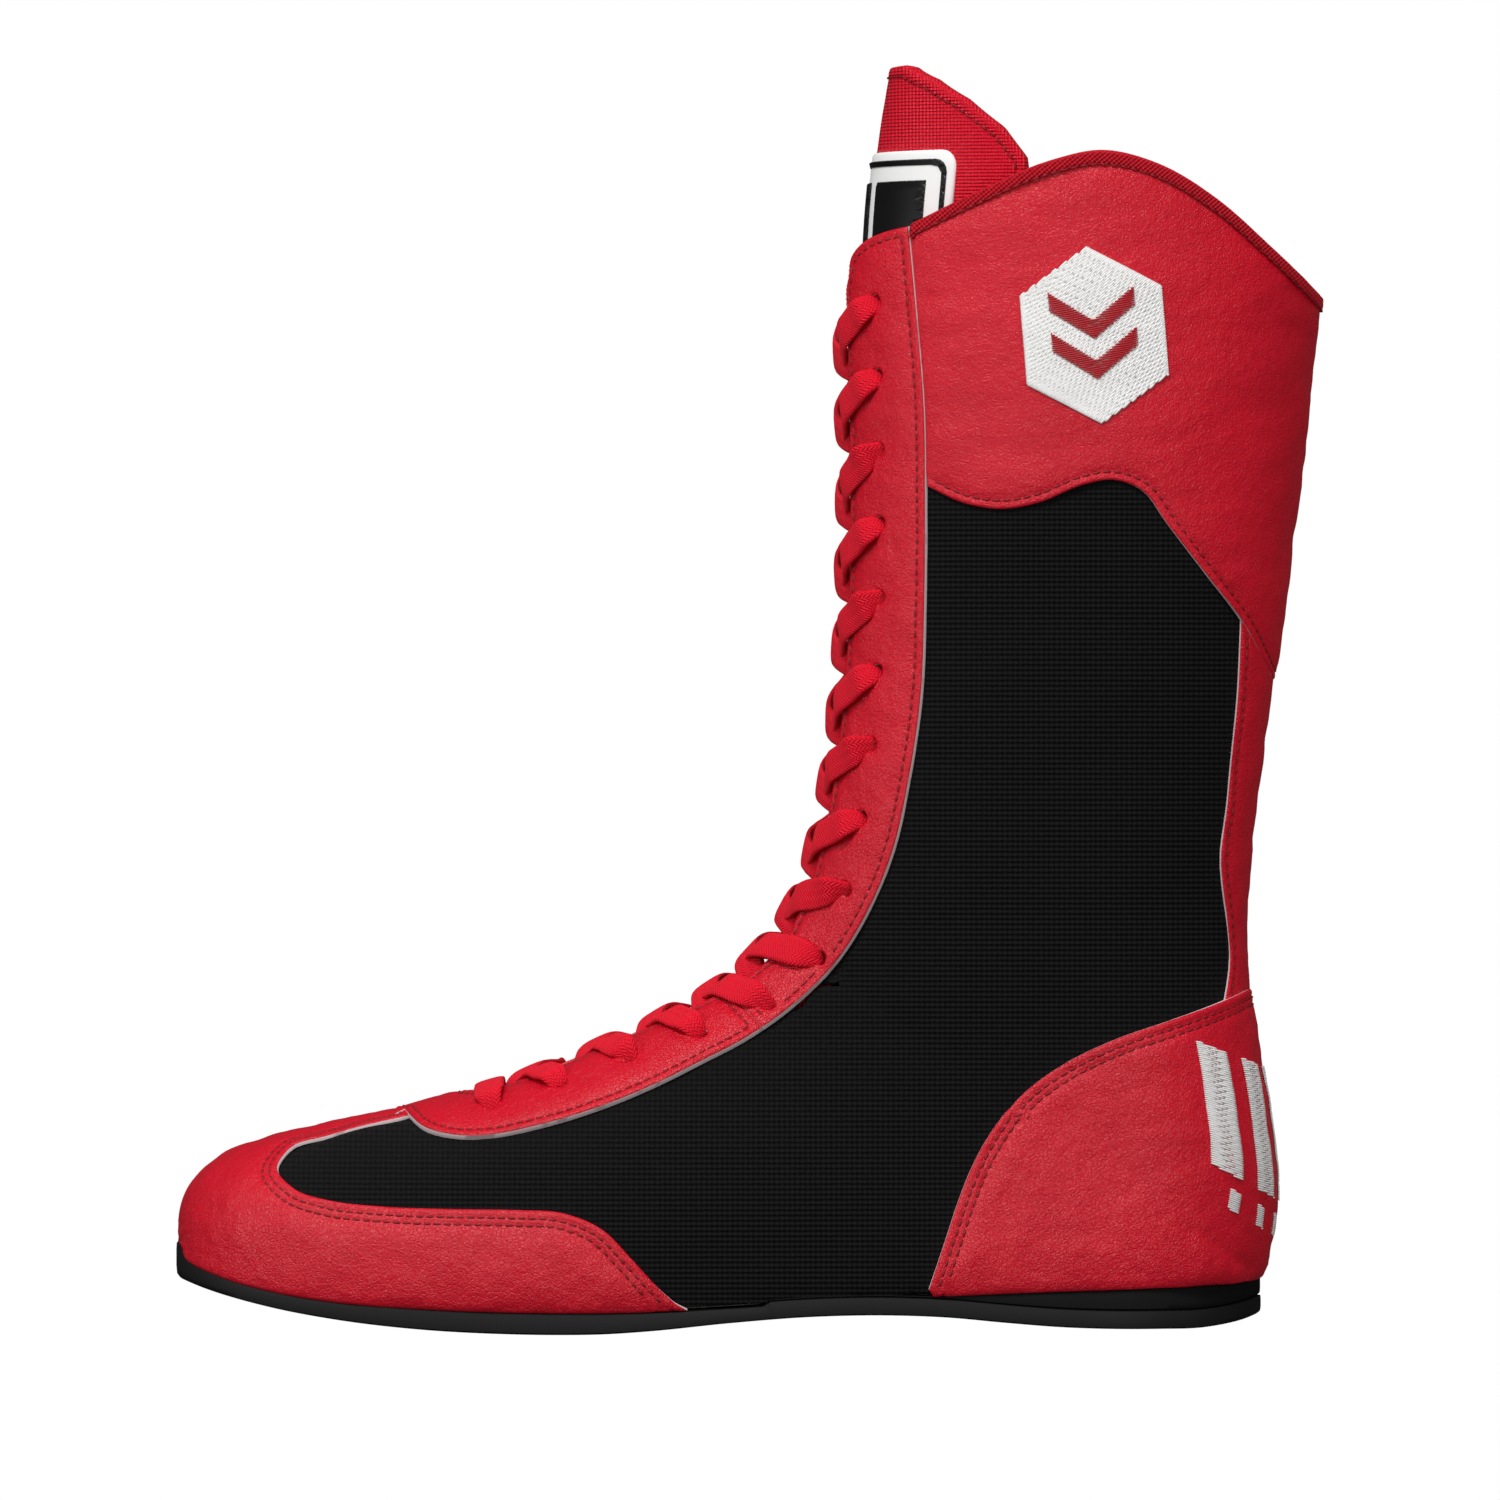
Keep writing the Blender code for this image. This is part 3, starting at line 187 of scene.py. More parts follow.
def smooth_value(xs, ys, x):
    """A curve through (xs, ys) with no kinks: cubic pieces with three-point slopes."""
    xs = np.asarray(xs, float)
    ys = np.asarray(ys, float)
    step = np.diff(xs)
    rise = np.diff(ys, axis=0) / step.reshape(-1, *([1] * (ys.ndim - 1)))
    weight = (step[1:] / (step[1:] + step[:-1])).reshape(-1, *([1] * (ys.ndim - 1)))
    slope = np.concatenate([rise[:1], rise[:-1] * weight + rise[1:] * (1 - weight), rise[-1:]])
    i = np.clip(np.searchsorted(xs, x, side="right") - 1, 0, len(xs) - 2)
    h = step[i]
    q = np.clip((x - xs[i]) / h, 0, 1)
    if ys.ndim > 1:
        h = h[..., None]
        q = q[..., None]
    return (ys[i] * (1 + 2 * q) * (1 - q) ** 2 + slope[i] * h * q * (1 - q) ** 2
            + ys[i + 1] * q * q * (3 - 2 * q) + slope[i + 1] * h * q * q * (q - 1))


SECTION_TABLE = np.array(SECTIONS)
KNOTS = (lengths(SECTION_TABLE[:, :2]) + lengths(SECTION_TABLE[:, 2:4])) / 2
K_END = KNOTS[-1]
K_HEEL = KNOTS[HEEL_SECTION]


def rounded(q):
    """From 0 to 1, steeply at first, as a rounded corner rises."""
    q = np.clip(q, 0, 1)
    return (1 - (1 - q) ** ROUNDNESS) ** (1 / ROUNDNESS)


def share_down(u, opened):
    """How far down its section a place is, from u, the share of the way round, and how open it is."""
    opened = opened * opened * (3 - 2 * opened)
    return opened * (1 - np.cos(math.pi * u / 2)) + (1 - opened) * (1 - np.cos(math.pi * u)) / 2


def one_side(s):
    """The same place with s between -1 and 1."""
    s = np.asarray(s, float)
    s = np.where(s > 1, s - 2, s)
    return np.where(s < -1, s + 2, s)


def depth_at(k, s):
    """How far down its section each place is, from 0 to 1."""
    opened = smooth_value(KNOTS, SECTION_TABLE, np.clip(np.asarray(k, float), 0, K_END))[..., 9]
    return share_down(np.abs(one_side(s)), np.clip(opened, 0, 1))


def last_point(k, s):
    """Points on the last's surface, in millimetres."""
    return section_point(k, depth_at(k, s), one_side(s) > 0)


def section_point(k, t, lateral_side):
    """Points a share t of the way down their sections, on either side."""
    row = smooth_value(KNOTS, SECTION_TABLE, np.clip(np.asarray(k, float), 0, K_END))
    tx, tz, bx, bz, lateral, medial, shift, top, bottom, opened = np.moveaxis(row, -1, 0)
    opened = np.clip(opened, 0, 1)
    width = np.where(lateral_side, -lateral, medial)
    y = shift * (1 - t) + width * rounded(t / top) * (opened + (1 - opened) * rounded((1 - t) / bottom))
    return np.stack([tx + (bx - tx) * t, y, tz + (bz - tz) * t], axis=-1)


def last_normal(k, s):
    """The last's outward direction at each place."""
    k, s = np.asarray(k, float), np.asarray(s, float)
    low, high = np.clip(k - 0.8, 0.05, K_END), np.clip(k + 0.8, 0.05, K_END)
    t, side = depth_at(k, s), one_side(s) > 0
    along = section_point(high, t, side) - section_point(low, t, side)
    ds = 0.006
    closed = k > K_HEEL  # below it, neither side reaches past its own sole edge
    s_high = np.where(closed | (s > 1), s + ds, np.minimum(s + ds, 0.999))
    s_low = np.where(closed | (s <= 1), s - ds, np.maximum(s - ds, 1.001))
    across = last_point(k, s_high) - last_point(k, s_low)
    n = np.cross(across, along)
    return n / np.maximum(np.linalg.norm(n, axis=-1, keepdims=True), 1e-9)


def lifted(places, height):
    """World points at a height over the last, in metres."""
    k, s = np.asarray(places, float).T
    height = np.asarray(height, float)
    if height.ndim == 0:
        height = np.full(len(k), float(height))
    return (last_point(k, s) + last_normal(k, s) * height[:, None]) * MM + ORIGIN


def locate(x, z):
    """The place (k, s) on the lateral side that has this side view."""
    ks = np.linspace(0.5, K_END, 3000)
    row = smooth_value(KNOTS, SECTION_TABLE, ks)
    down = row[:, 2:4] - row[:, :2]
    side = down[:, 0] * (z - row[:, 1]) - down[:, 1] * (x - row[:, 0])
    share = ((x - row[:, 0]) * down[:, 0] + (z - row[:, 1]) * down[:, 1]) / (down ** 2).sum(axis=1)
    flips = np.where((side[:-1] * side[1:] <= 0) & (share[:-1] > -0.3) & (share[:-1] < 1.3))[0]
    if len(flips) == 0:
        raise ValueError(f"({x}, {z}) is off the last")
    i = flips[0]
    part = side[i] / (side[i] - side[i + 1])
    k = ks[i] + (ks[i + 1] - ks[i]) * part
    down_at = np.clip(share[i] + (share[i + 1] - share[i]) * part, 0, 1)
    us = np.linspace(0, 1, 400)
    opened = float(np.clip(smooth_value(KNOTS, SECTION_TABLE, k)[9], 0, 1))
    return float(k), float(np.interp(down_at, share_down(us, opened), us))


def k_of_front(x):
    """The k whose section starts at this x on the front line of the foot."""
    ks = np.linspace(0, 420, 3000)
    return float(np.interp(x, smooth_value(KNOTS, SECTION_TABLE, ks)[:, 0], ks))


def s_of_arc(k, arc):
    """The s this far from the front line, measured along the surface."""
    s = np.linspace(0, 0.75, 300)
    return float(np.interp(arc, lengths(last_point(np.full_like(s, k), s)), s))


def scale_at(k, s):
    """Millimetres on the surface for each unit of k and of s."""
    k, s = np.asarray(k, float), np.asarray(s, float)
    along = last_point(np.clip(k + 1, 0, K_END), s) - last_point(np.clip(k - 1, 0, K_END), s)
    across = last_point(k, s * 0.99 + 0.006) - last_point(k, s * 0.99 - 0.006)
    per_k = np.linalg.norm(along, axis=-1) / 2
    per_s = np.linalg.norm(across, axis=-1) / 0.012
    return np.maximum(per_k, 0.15), np.maximum(per_s, 8.0)


# Lines and outlines as places on the boot

def curved(places, parts=5):
    """A smooth curve through the places of an open line."""
    p = np.array(places, float)
    if len(p) < 3:
        return p
    hop = np.maximum(np.linalg.norm(np.diff(p, axis=0), axis=1), 1e-6)
    at = np.concatenate([[0], np.cumsum(hop)])
    dense = [np.linspace(a, b, parts, endpoint=False) for a, b in zip(at[:-1], at[1:])]
    return smooth_value(at, p, np.concatenate(dense + [[at[-1]]]))


def at_lengths(even, length, line):
    """The line's two values at these lengths along it."""
    return np.column_stack([np.interp(even, length, line[:, 0]), np.interp(even, length, line[:, 1])])


def line_on_last(points, step=0.6):
    """A smooth side-view line as places on the lateral side."""
    line = curved(points)
    length = lengths(line)
    even = np.linspace(0, length[-1], max(3, int(length[-1] / step)))
    return np.array([locate(x, z) for x, z in at_lengths(even, length, line)])


def arc_line(k_from, k_to, arc, count):
    """A line that stays the same distance from the front centre line."""
    ks = np.linspace(k_from, k_to, count)
    return np.column_stack([ks, [s_of_arc(k, arc) for k in ks]])


def mirrored(line):
    """The line on the other side, run backwards."""
    return np.array(line, float)[::-1] * (1, -1)


def round_the_back(line):
    """The line carried on past the back seam, run backwards."""
    line = np.array(line, float)
    return np.column_stack([line[::-1, 0], 2 - line[::-1, 1]])


def shifted(line, millimetres):
    """The line moved down the boot."""
    return np.array(line, float) - (millimetres, 0)


def joined(*lines):
    """Lines end to end as one loop, without places that nearly repeat."""
    places = np.concatenate([np.atleast_2d(np.array(line, float)) for line in lines])
    points = last_point(*places.T)
    hop = np.linalg.norm(points - np.roll(points, 1, axis=0), axis=1)
    return places[hop > 0.25]


def k_to_s(line, k):
    """The s at which a line passes this k."""
    line = np.array(sorted(map(tuple, line)))
    return float(np.interp(k, line[:, 0], line[:, 1]))


def even_line(places, step, closed=False):
    """The line resampled at an even spacing on the surface."""
    places = np.array(places, float)
    if closed:
        places = np.vstack([places, places[:1]])
    length = lengths(last_point(*places.T))
    count = max(2, int(round(length[-1] / step))) + 1
    even = np.linspace(0, length[-1], count)
    return at_lengths(even[:-1] if closed else even, length, places)


CORNER = math.cos(math.radians(32))  # a loop that turns more than this has a corner


def smooth_loop(places, step):
    """A loop resampled evenly between its corners, which stay."""
    places = np.array(places, float)
    p = last_point(*places.T)
    before = p - np.roll(p, 1, axis=0)
    after = np.roll(p, -1, axis=0) - p
    cosine = (unit(before) * unit(after)).sum(axis=1)
    corners = np.where(cosine < CORNER)[0]
    if len(corners) == 0:
        corners = np.array([0])
    pieces = []
    for a, b in zip(corners, np.roll(corners, -1)):
        run = np.arange(a, b + 1 if b > a else b + len(places) + 1) % len(places)
        pieces.append(even_line(places[run], step)[:-1])
    return np.concatenate(pieces)


def inside_loop(points, loop):
    """Which points are inside a loop, both as flat coordinates."""
    a, b = loop, np.roll(loop, -1, axis=0)
    inside = np.zeros(len(points), bool)
    for (ax, ay), (bx, by) in zip(a, b):
        if ay == by:
            continue
        crosses = (ay > points[:, 1]) != (by > points[:, 1])
        inside ^= crosses & (points[:, 0] < ax + (points[:, 1] - ay) * (bx - ax) / (by - ay))
    return inside


def loop_distance(places, loops, closed=True):
    """Each place's distance on the surface to the nearest of the loops or lines, in millimetres."""
    tree = tree_of(np.concatenate([last_point(*even_line(loop, 0.4, closed).T) for loop in loops]))
    return np.array([tree.find(p)[2] for p in last_point(*np.array(places, float).T)])


def nearest_places(targets, start):
    """The places whose surface points lie nearest the targets, in millimetres, searched from a start."""
    places = np.array(start, float)
    best = places.copy()
    nearest = np.full(len(places), np.inf)
    pace = np.ones(len(places))
    for _ in range(14):
        error = np.linalg.norm(targets - last_point(*places.T), axis=1)
        better = error < nearest
        pace = np.where(better, pace, pace * 0.5)
        best[better], nearest[better] = places[better], error[better]
        places = best.copy()
        k, s = places.T
        low_k, high_k = np.clip(k - 0.3, 0.02, K_END), np.clip(k + 0.3, 0.02, K_END)
        by_k = (last_point(high_k, s) - last_point(low_k, s)) / (high_k - low_k)[:, None]
        # at the sole edge and the back seam, the slope across is taken from the place's own side
        inward = np.where(np.abs(s) < 0.99, 0.0, np.where(np.abs(s) > 1, 0.003, -0.003) * np.sign(s))
        by_s = (last_point(k, s + inward + 0.002) - last_point(k, s + inward - 0.002)) / 0.004
        miss = targets - last_point(k, s)
        kk, ss, ks = (by_k ** 2).sum(1) + 1e-4, (by_s ** 2).sum(1) + 1.0, (by_k * by_s).sum(1)
        mk, ms = (miss * by_k).sum(1), (miss * by_s).sum(1)
        det = np.maximum(kk * ss - ks * ks, 1e-3)
        move = np.column_stack([(mk * ss - ms * ks) / det, (ms * kk - mk * ks) / det])
        places += np.clip(move, (-4, -0.06), (4, 0.06)) * pace[:, None]
        places[:, 0] = np.clip(places[:, 0], 0.3, K_END)
    return best


def inset_line(places, distance, closed=True):
    """A loop or line moved to its left on the surface: inwards for a counterclockwise loop."""
    places = np.array(places, float)
    k, s = places.T
    p = last_point(k, s)
    if closed:
        along = np.roll(p, -1, axis=0) - np.roll(p, 1, axis=0)
    else:
        along = np.gradient(p, axis=0)
    side = unit(np.cross(last_normal(k, s), along))
    return nearest_places(p + side * distance, places)


def counterclockwise(loop):
    """The loop with its inside on the left, seen from outside the boot."""
    loop = np.array(loop, float)
    return loop if signed_area(pattern(loop)) < 0 else loop[::-1]


def row_inside(loops, distance, step, share=0.93, seams=None):
    """Places of the outer loop moved inwards, without those too near any edge or away from the seams."""
    outer = even_line(counterclockwise(loops[0]), step, closed=True)
    row = inset_line(outer, distance)
    near = loop_distance(row, loops)
    keep = (near > distance * share) & inside_loop(pattern(row), pattern(loops[0]))
    if seams is not None:
        keep &= loop_distance(row, seams, closed=False) < distance * 1.12 + 0.1
    return row[keep]


def circle_at(place, radius, sides=20):
    """A loop of this radius in millimetres round a place."""
    per_k, per_s = scale_at(*place)
    turn = np.arange(sides) / sides * math.tau
    round_it = np.column_stack([np.cos(turn) / per_k, np.sin(turn) / per_s])
    return np.array(place) + radius * round_it


def grid_places(loops, spacing, margin, seams=None, seam_margin=0.0):
    """Staggered places inside the loops, evenly spaced on the surface, clear of the edges and seams."""
    outer = loops[0]
    k_low, k_high = outer[:, 0].min(), outer[:, 0].max()
    s_low, s_high = outer[:, 1].min(), outer[:, 1].max()
    found = []
    k = max(k_low, 0.3)
    odd = 0
    while k < k_high:
        s = np.linspace(s_low, s_high, 240)
        length = lengths(last_point(np.full_like(s, k), s))
        even = np.arange(spacing * (0.5 + 0.5 * odd), length[-1], spacing)
        found.append(np.column_stack([np.full(len(even), k), np.interp(even, length, s)]))
        few = np.linspace(s_low, s_high, 9)
        hop = last_point(np.full(9, min(k + 0.5, K_END)), few) - last_point(np.full(9, k), few)
        k += spacing * 0.87 / max(0.35, np.linalg.norm(hop, axis=1).max() / 0.5)
        odd = 1 - odd
    places = np.concatenate(found)
    flat = pattern(places)
    keep = inside_loop(flat, pattern(outer))
    for hole in loops[1:]:
        keep &= ~inside_loop(flat, pattern(hole))
    places = places[keep]
    clear = loop_distance(places, loops) > margin
    if seams:
        clear &= loop_distance(places, seams, closed=False) > seam_margin
    return places[clear]


def pattern(places):
    """Flat coordinates: k, and s as wide as it is on most of the boot."""
    return places * (1, ACROSS)


def side_view(places):
    """Flat coordinates as seen from the side."""
    return last_point(*places.T)[:, [0, 2]]


def unrolled(places):
    """Flat coordinates of the heel's wall: the way round it from the back seam, and the height."""
    x, y, z = last_point(*places.T).T
    turn = np.arctan2(np.abs(y), np.maximum(x - HEEL_CENTRE_X, 0))
    round_it = HEEL_RADIUS * turn + np.maximum(HEEL_CENTRE_X - x, 0)
    return np.column_stack([np.where(places[:, 1] > 1, 1, -1) * round_it, z])


def triangles_between(loops, places, flat):
    """The places of a flat pattern, which of them lie on the loops, and the triangles inside the loops."""
    places = np.concatenate(list(loops) + [places])
    verts = flat(places)
    edges = []
    first = 0
    for loop in loops:
        n = len(loop)
        edges += [(first + i, first + (i + 1) % n) for i in range(n)]
        first += n
    out = delaunay_2d_cdt([Vector(v) for v in verts], edges, [], 0, 1e-5)
    on_loop = np.arange(len(places)) < first
    known = np.array([old[0] if old else -1 for old in out[3]])
    faces = np.array([known[list(face)] for face in out[2] if len(face) == 3])
    faces = faces[(faces >= 0).all(axis=1)]
    middle = verts[faces].mean(axis=1)
    keep = inside_loop(middle, flat(loops[0]))
    for hole in loops[1:]:
        keep &= ~inside_loop(middle, flat(hole))
    return places, on_loop, faces[keep]


# Materials

def srgb(r, g, b):
    """A 0-255 colour as linear values."""
    return tuple(((c / 255 + 0.055) / 1.055) ** 2.4 if c > 10.3 else c / 255 / 12.92 for c in (r, g, b))


def new_material(name, colour, roughness, specular=0.5):
    m = bpy.data.materials.new(name)
    m.use_nodes = True
    shader = m.node_tree.nodes["Principled BSDF"]
    shader.inputs["Base Color"].default_value = (*colour, 1)
    shader.inputs["Roughness"].default_value = roughness
    shader.inputs["Specular IOR Level"].default_value = specular
    m.diffuse_color = (*colour, 1)
    return m


def add_node(m, kind, **settings):
    node = m.node_tree.nodes.new(kind)
    for name, value in settings.items():
        if name in node.inputs:
            node.inputs[name].default_value = value
        else:
            setattr(node, name, value)
    return node


def wire(m, a, out, b, into):
    m.node_tree.links.new(a.outputs[out], b.inputs[into])


def maths(m, operation, *inputs):
    """The output of a maths node. Each input is a number or another node's output."""
    node = add_node(m, "ShaderNodeMath", operation=operation)
    for socket, value in zip(node.inputs, inputs):
        if isinstance(value, float):
            socket.default_value = value
        else:
            m.node_tree.links.new(value, socket)
    return node.outputs[0]


def add_noise(m, at, scale, detail=3.0):
    node = add_node(m, "ShaderNodeTexNoise", Scale=scale, Detail=detail)
    wire(m, at, "Vector", node, "Vector")
    return node


def add_bump(m, height, distance, strength=1.0, before=None):
    """A bump from a height socket, chained after another bump where one is given."""
    bump = add_node(m, "ShaderNodeBump", Distance=distance, Strength=strength)
    m.node_tree.links.new(height, bump.inputs["Height"])
    if before:
        wire(m, before, "Normal", bump, "Normal")
    wire(m, bump, "Normal", m.node_tree.nodes["Principled BSDF"], "Normal")
    return bump


def tint(m, factor, colour, darkest, lightest):
    """The base colour between a darker and a lighter shade of it, by a factor socket."""
    dark = [c * darkest for c in colour]
    light = [min(1, c * lightest) for c in colour]
    mix = add_node(m, "ShaderNodeMix", data_type="RGBA")
    m.node_tree.links.new(factor, mix.inputs[0])
    mix.inputs[6].default_value = (*dark, 1)
    mix.inputs[7].default_value = (*light, 1)
    m.node_tree.links.new(mix.outputs[2], m.node_tree.nodes["Principled BSDF"].inputs["Base Color"])


def object_coordinates(m, scale=(1, 1, 1), turn=(0, 0, 0)):
    place = add_node(m, "ShaderNodeTexCoord")
    mapping = add_node(m, "ShaderNodeMapping", Scale=scale, Rotation=turn)
    wire(m, place, "Object", mapping, "Vector")
    return mapping


def leather_material(name, colour, roughness=0.36):
    """Coated leather: pebbles about a millimetre wide, finer pores and faint wear."""
    m = new_material(name, colour, roughness, 0.5)
    at = object_coordinates(m, (1000, 1000, 1000))
    warp = add_noise(m, at, 0.5)
    shift = add_node(m, "ShaderNodeVectorMath", operation="MULTIPLY_ADD")
    shift.inputs[1].default_value = (1.1, 1.1, 1.1)
    wire(m, warp, "Color", shift, 0)
    wire(m, at, "Vector", shift, 2)
    pebbles = add_node(m, "ShaderNodeTexVoronoi", feature="DISTANCE_TO_EDGE", Scale=0.95)
    wire(m, shift, "Vector", pebbles, "Vector")
    grain = add_bump(m, maths(m, "SMOOTH_MIN", pebbles.outputs["Distance"], 0.16, 0.1), 0.0006, 0.9)
    folds = add_bump(m, add_noise(m, at, 0.34).outputs["Fac"], 0.0011, 0.4, grain)
    add_bump(m, add_noise(m, at, 2.6, 4.0).outputs["Fac"], 0.00028, 0.6, folds)
    tint(m, add_noise(m, at, 0.035).outputs["Fac"], colour, 0.88, 1.1)
    return m


def cloth_material(name, colour, pitch, roughness=0.95, depth=0.0002, sheen=0.3, turn=0.0,
                   contrast=(0.72, 1.22), specular=0.25):
    """Woven cloth: threads over and under each other at this pitch in millimetres."""
    m = new_material(name, colour, roughness, specular)
    at = object_coordinates(m, turn=(0, turn, 0))
    split = add_node(m, "ShaderNodeSeparateXYZ")
    wire(m, at, "Vector", split, "Vector")
    across, along = (maths(m, "SINE", maths(m, "MULTIPLY", split.outputs[axis], math.tau / (pitch / 1000)))
                     for axis in ("X", "Z"))
    weave = maths(m, "ADD", across, along)
    threads = add_bump(m, weave, depth, 0.8)
    add_bump(m, add_noise(m, at, 1600.0, 2.0).outputs["Fac"], depth, 0.5, threads)
    tint(m, maths(m, "MULTIPLY_ADD", weave, 0.25, 0.5), colour, *contrast)
    shader = m.node_tree.nodes["Principled BSDF"]
    shader.inputs["Sheen Weight"].default_value = sheen
    shader.inputs["Sheen Roughness"].default_value = 0.5
    shader.inputs["Sheen Tint"].default_value = (*[min(1, c * 1.5 + 0.02) for c in colour], 1)
    return m


LACE_FOLD = 0.0012  # metres across one leg of the herringbone
LACE_RIB = 0.00095  # metres from rib to rib


def lace_material(name, colour):
    """A flat woven lace: herringbone ribs along its length."""
    m = new_material(name, colour, 0.72, 0.3)
    uv = add_node(m, "ShaderNodeTexCoord")
    split = add_node(m, "ShaderNodeSeparateXYZ")
    wire(m, uv, "UV", split, "Vector")
    fold = maths(m, "PINGPONG", split.outputs["Y"], LACE_FOLD)
    lean = maths(m, "MULTIPLY_ADD", fold, 0.8, split.outputs["X"])
    rib = maths(m, "SINE", maths(m, "MULTIPLY", lean, math.tau / LACE_RIB))
    add_bump(m, rib, 0.00022, 0.8)
    tint(m, maths(m, "MULTIPLY_ADD", rib, 0.5, 0.5), colour, 0.84, 1.1)
    return m


RED = srgb(212, 1, 35)
MATERIALS = {
    "leather": leather_material("leather_red", RED),
    "raw": new_material("leather_raw_edge", srgb(214, 196, 198), 0.9, 0.2),
    "textile": cloth_material("textile_black", srgb(13, 13, 14), 1.35, depth=0.0005, sheen=0.10,
                              contrast=(0.5, 2.1)),
    "lining": cloth_material("lining_black", srgb(17, 17, 19), 0.7),
    "thread": new_material("thread_red", srgb(142, 1, 18), 0.6),
    "lace": lace_material("lace_red", srgb(244, 3, 42)),
    "satin": cloth_material("satin_red", srgb(226, 14, 44), 0.9, roughness=0.36, depth=0.0002, sheen=0.0,
                            contrast=(0.8, 1.15), specular=0.4),
    "tape": cloth_material("binding_red", srgb(206, 12, 36), 0.9, roughness=0.6, depth=0.0003, sheen=0.4,
                           turn=0.7),
    "rubber": new_material("sole_rubber_black", srgb(23, 23, 24), 0.62, 0.4),
    "foam": new_material("midsole_black", srgb(14, 14, 15), 0.8, 0.3),
    "white": new_material("patch_white", srgb(247, 247, 246), 0.45),
    "ink": new_material("patch_black", srgb(12, 12, 13), 0.4),
    "embroidery": new_material("embroidery_white", srgb(246, 245, 243), 0.5),
    "embroidery_red": new_material("embroidery_red", srgb(180, 5, 26), 0.5),
    "aglet": new_material("aglet_red", srgb(150, 4, 20), 0.25),
    "stiff": new_material("stiffener_fibre", srgb(196, 188, 168), 0.9),
    "insole": cloth_material("sockliner_black", srgb(20, 20, 22), 1.1),
    "web": cloth_material("webbing_black", srgb(15, 15, 16), 1.4),
    "sponge": new_material("tongue_sponge", srgb(196, 186, 150), 0.95),
}


# Meshes

FINE = 1.0
EDGE_DROP = 0.42  # how far a panel's edge rounds down
SEAM_DROP = 0.32  # how far its stitches pull it down


def add_mesh(name, points, faces, materials, face_material=None, smooth=True, uv=None):
    mesh = bpy.data.meshes.new(name)
    mesh.from_pydata([tuple(p) for p in points], [], [tuple(int(i) for i in f) for f in faces])
    for m in materials:
        mesh.materials.append(m)
    if face_material is not None:
        mesh.polygons.foreach_set("material_index", np.asarray(face_material, np.int32))
    if uv is not None:
        layer = mesh.uv_layers.new(name="UVMap")
        loops = np.empty(len(mesh.loops), np.int32)
        mesh.loops.foreach_get("vertex_index", loops)
        layer.data.foreach_set("uv", np.asarray(uv, float)[loops].astype(np.float32).ravel())
    if smooth:
        mesh.shade_smooth()
    mesh.validate()
    obj = bpy.data.objects.new(name, mesh)
    bpy.context.scene.collection.objects.link(obj)
    return obj


def ripple(points, size, seed, octaves=2):
    """Smooth noise at each point, about -1 to 1, with features of this size in millimetres."""
    off = Vector((seed * 13.7, seed * 5.1, seed * 9.3))
    return np.array([noise.fractal(Vector(p) / size + off, 0.8, 2.1, octaves) for p in points])


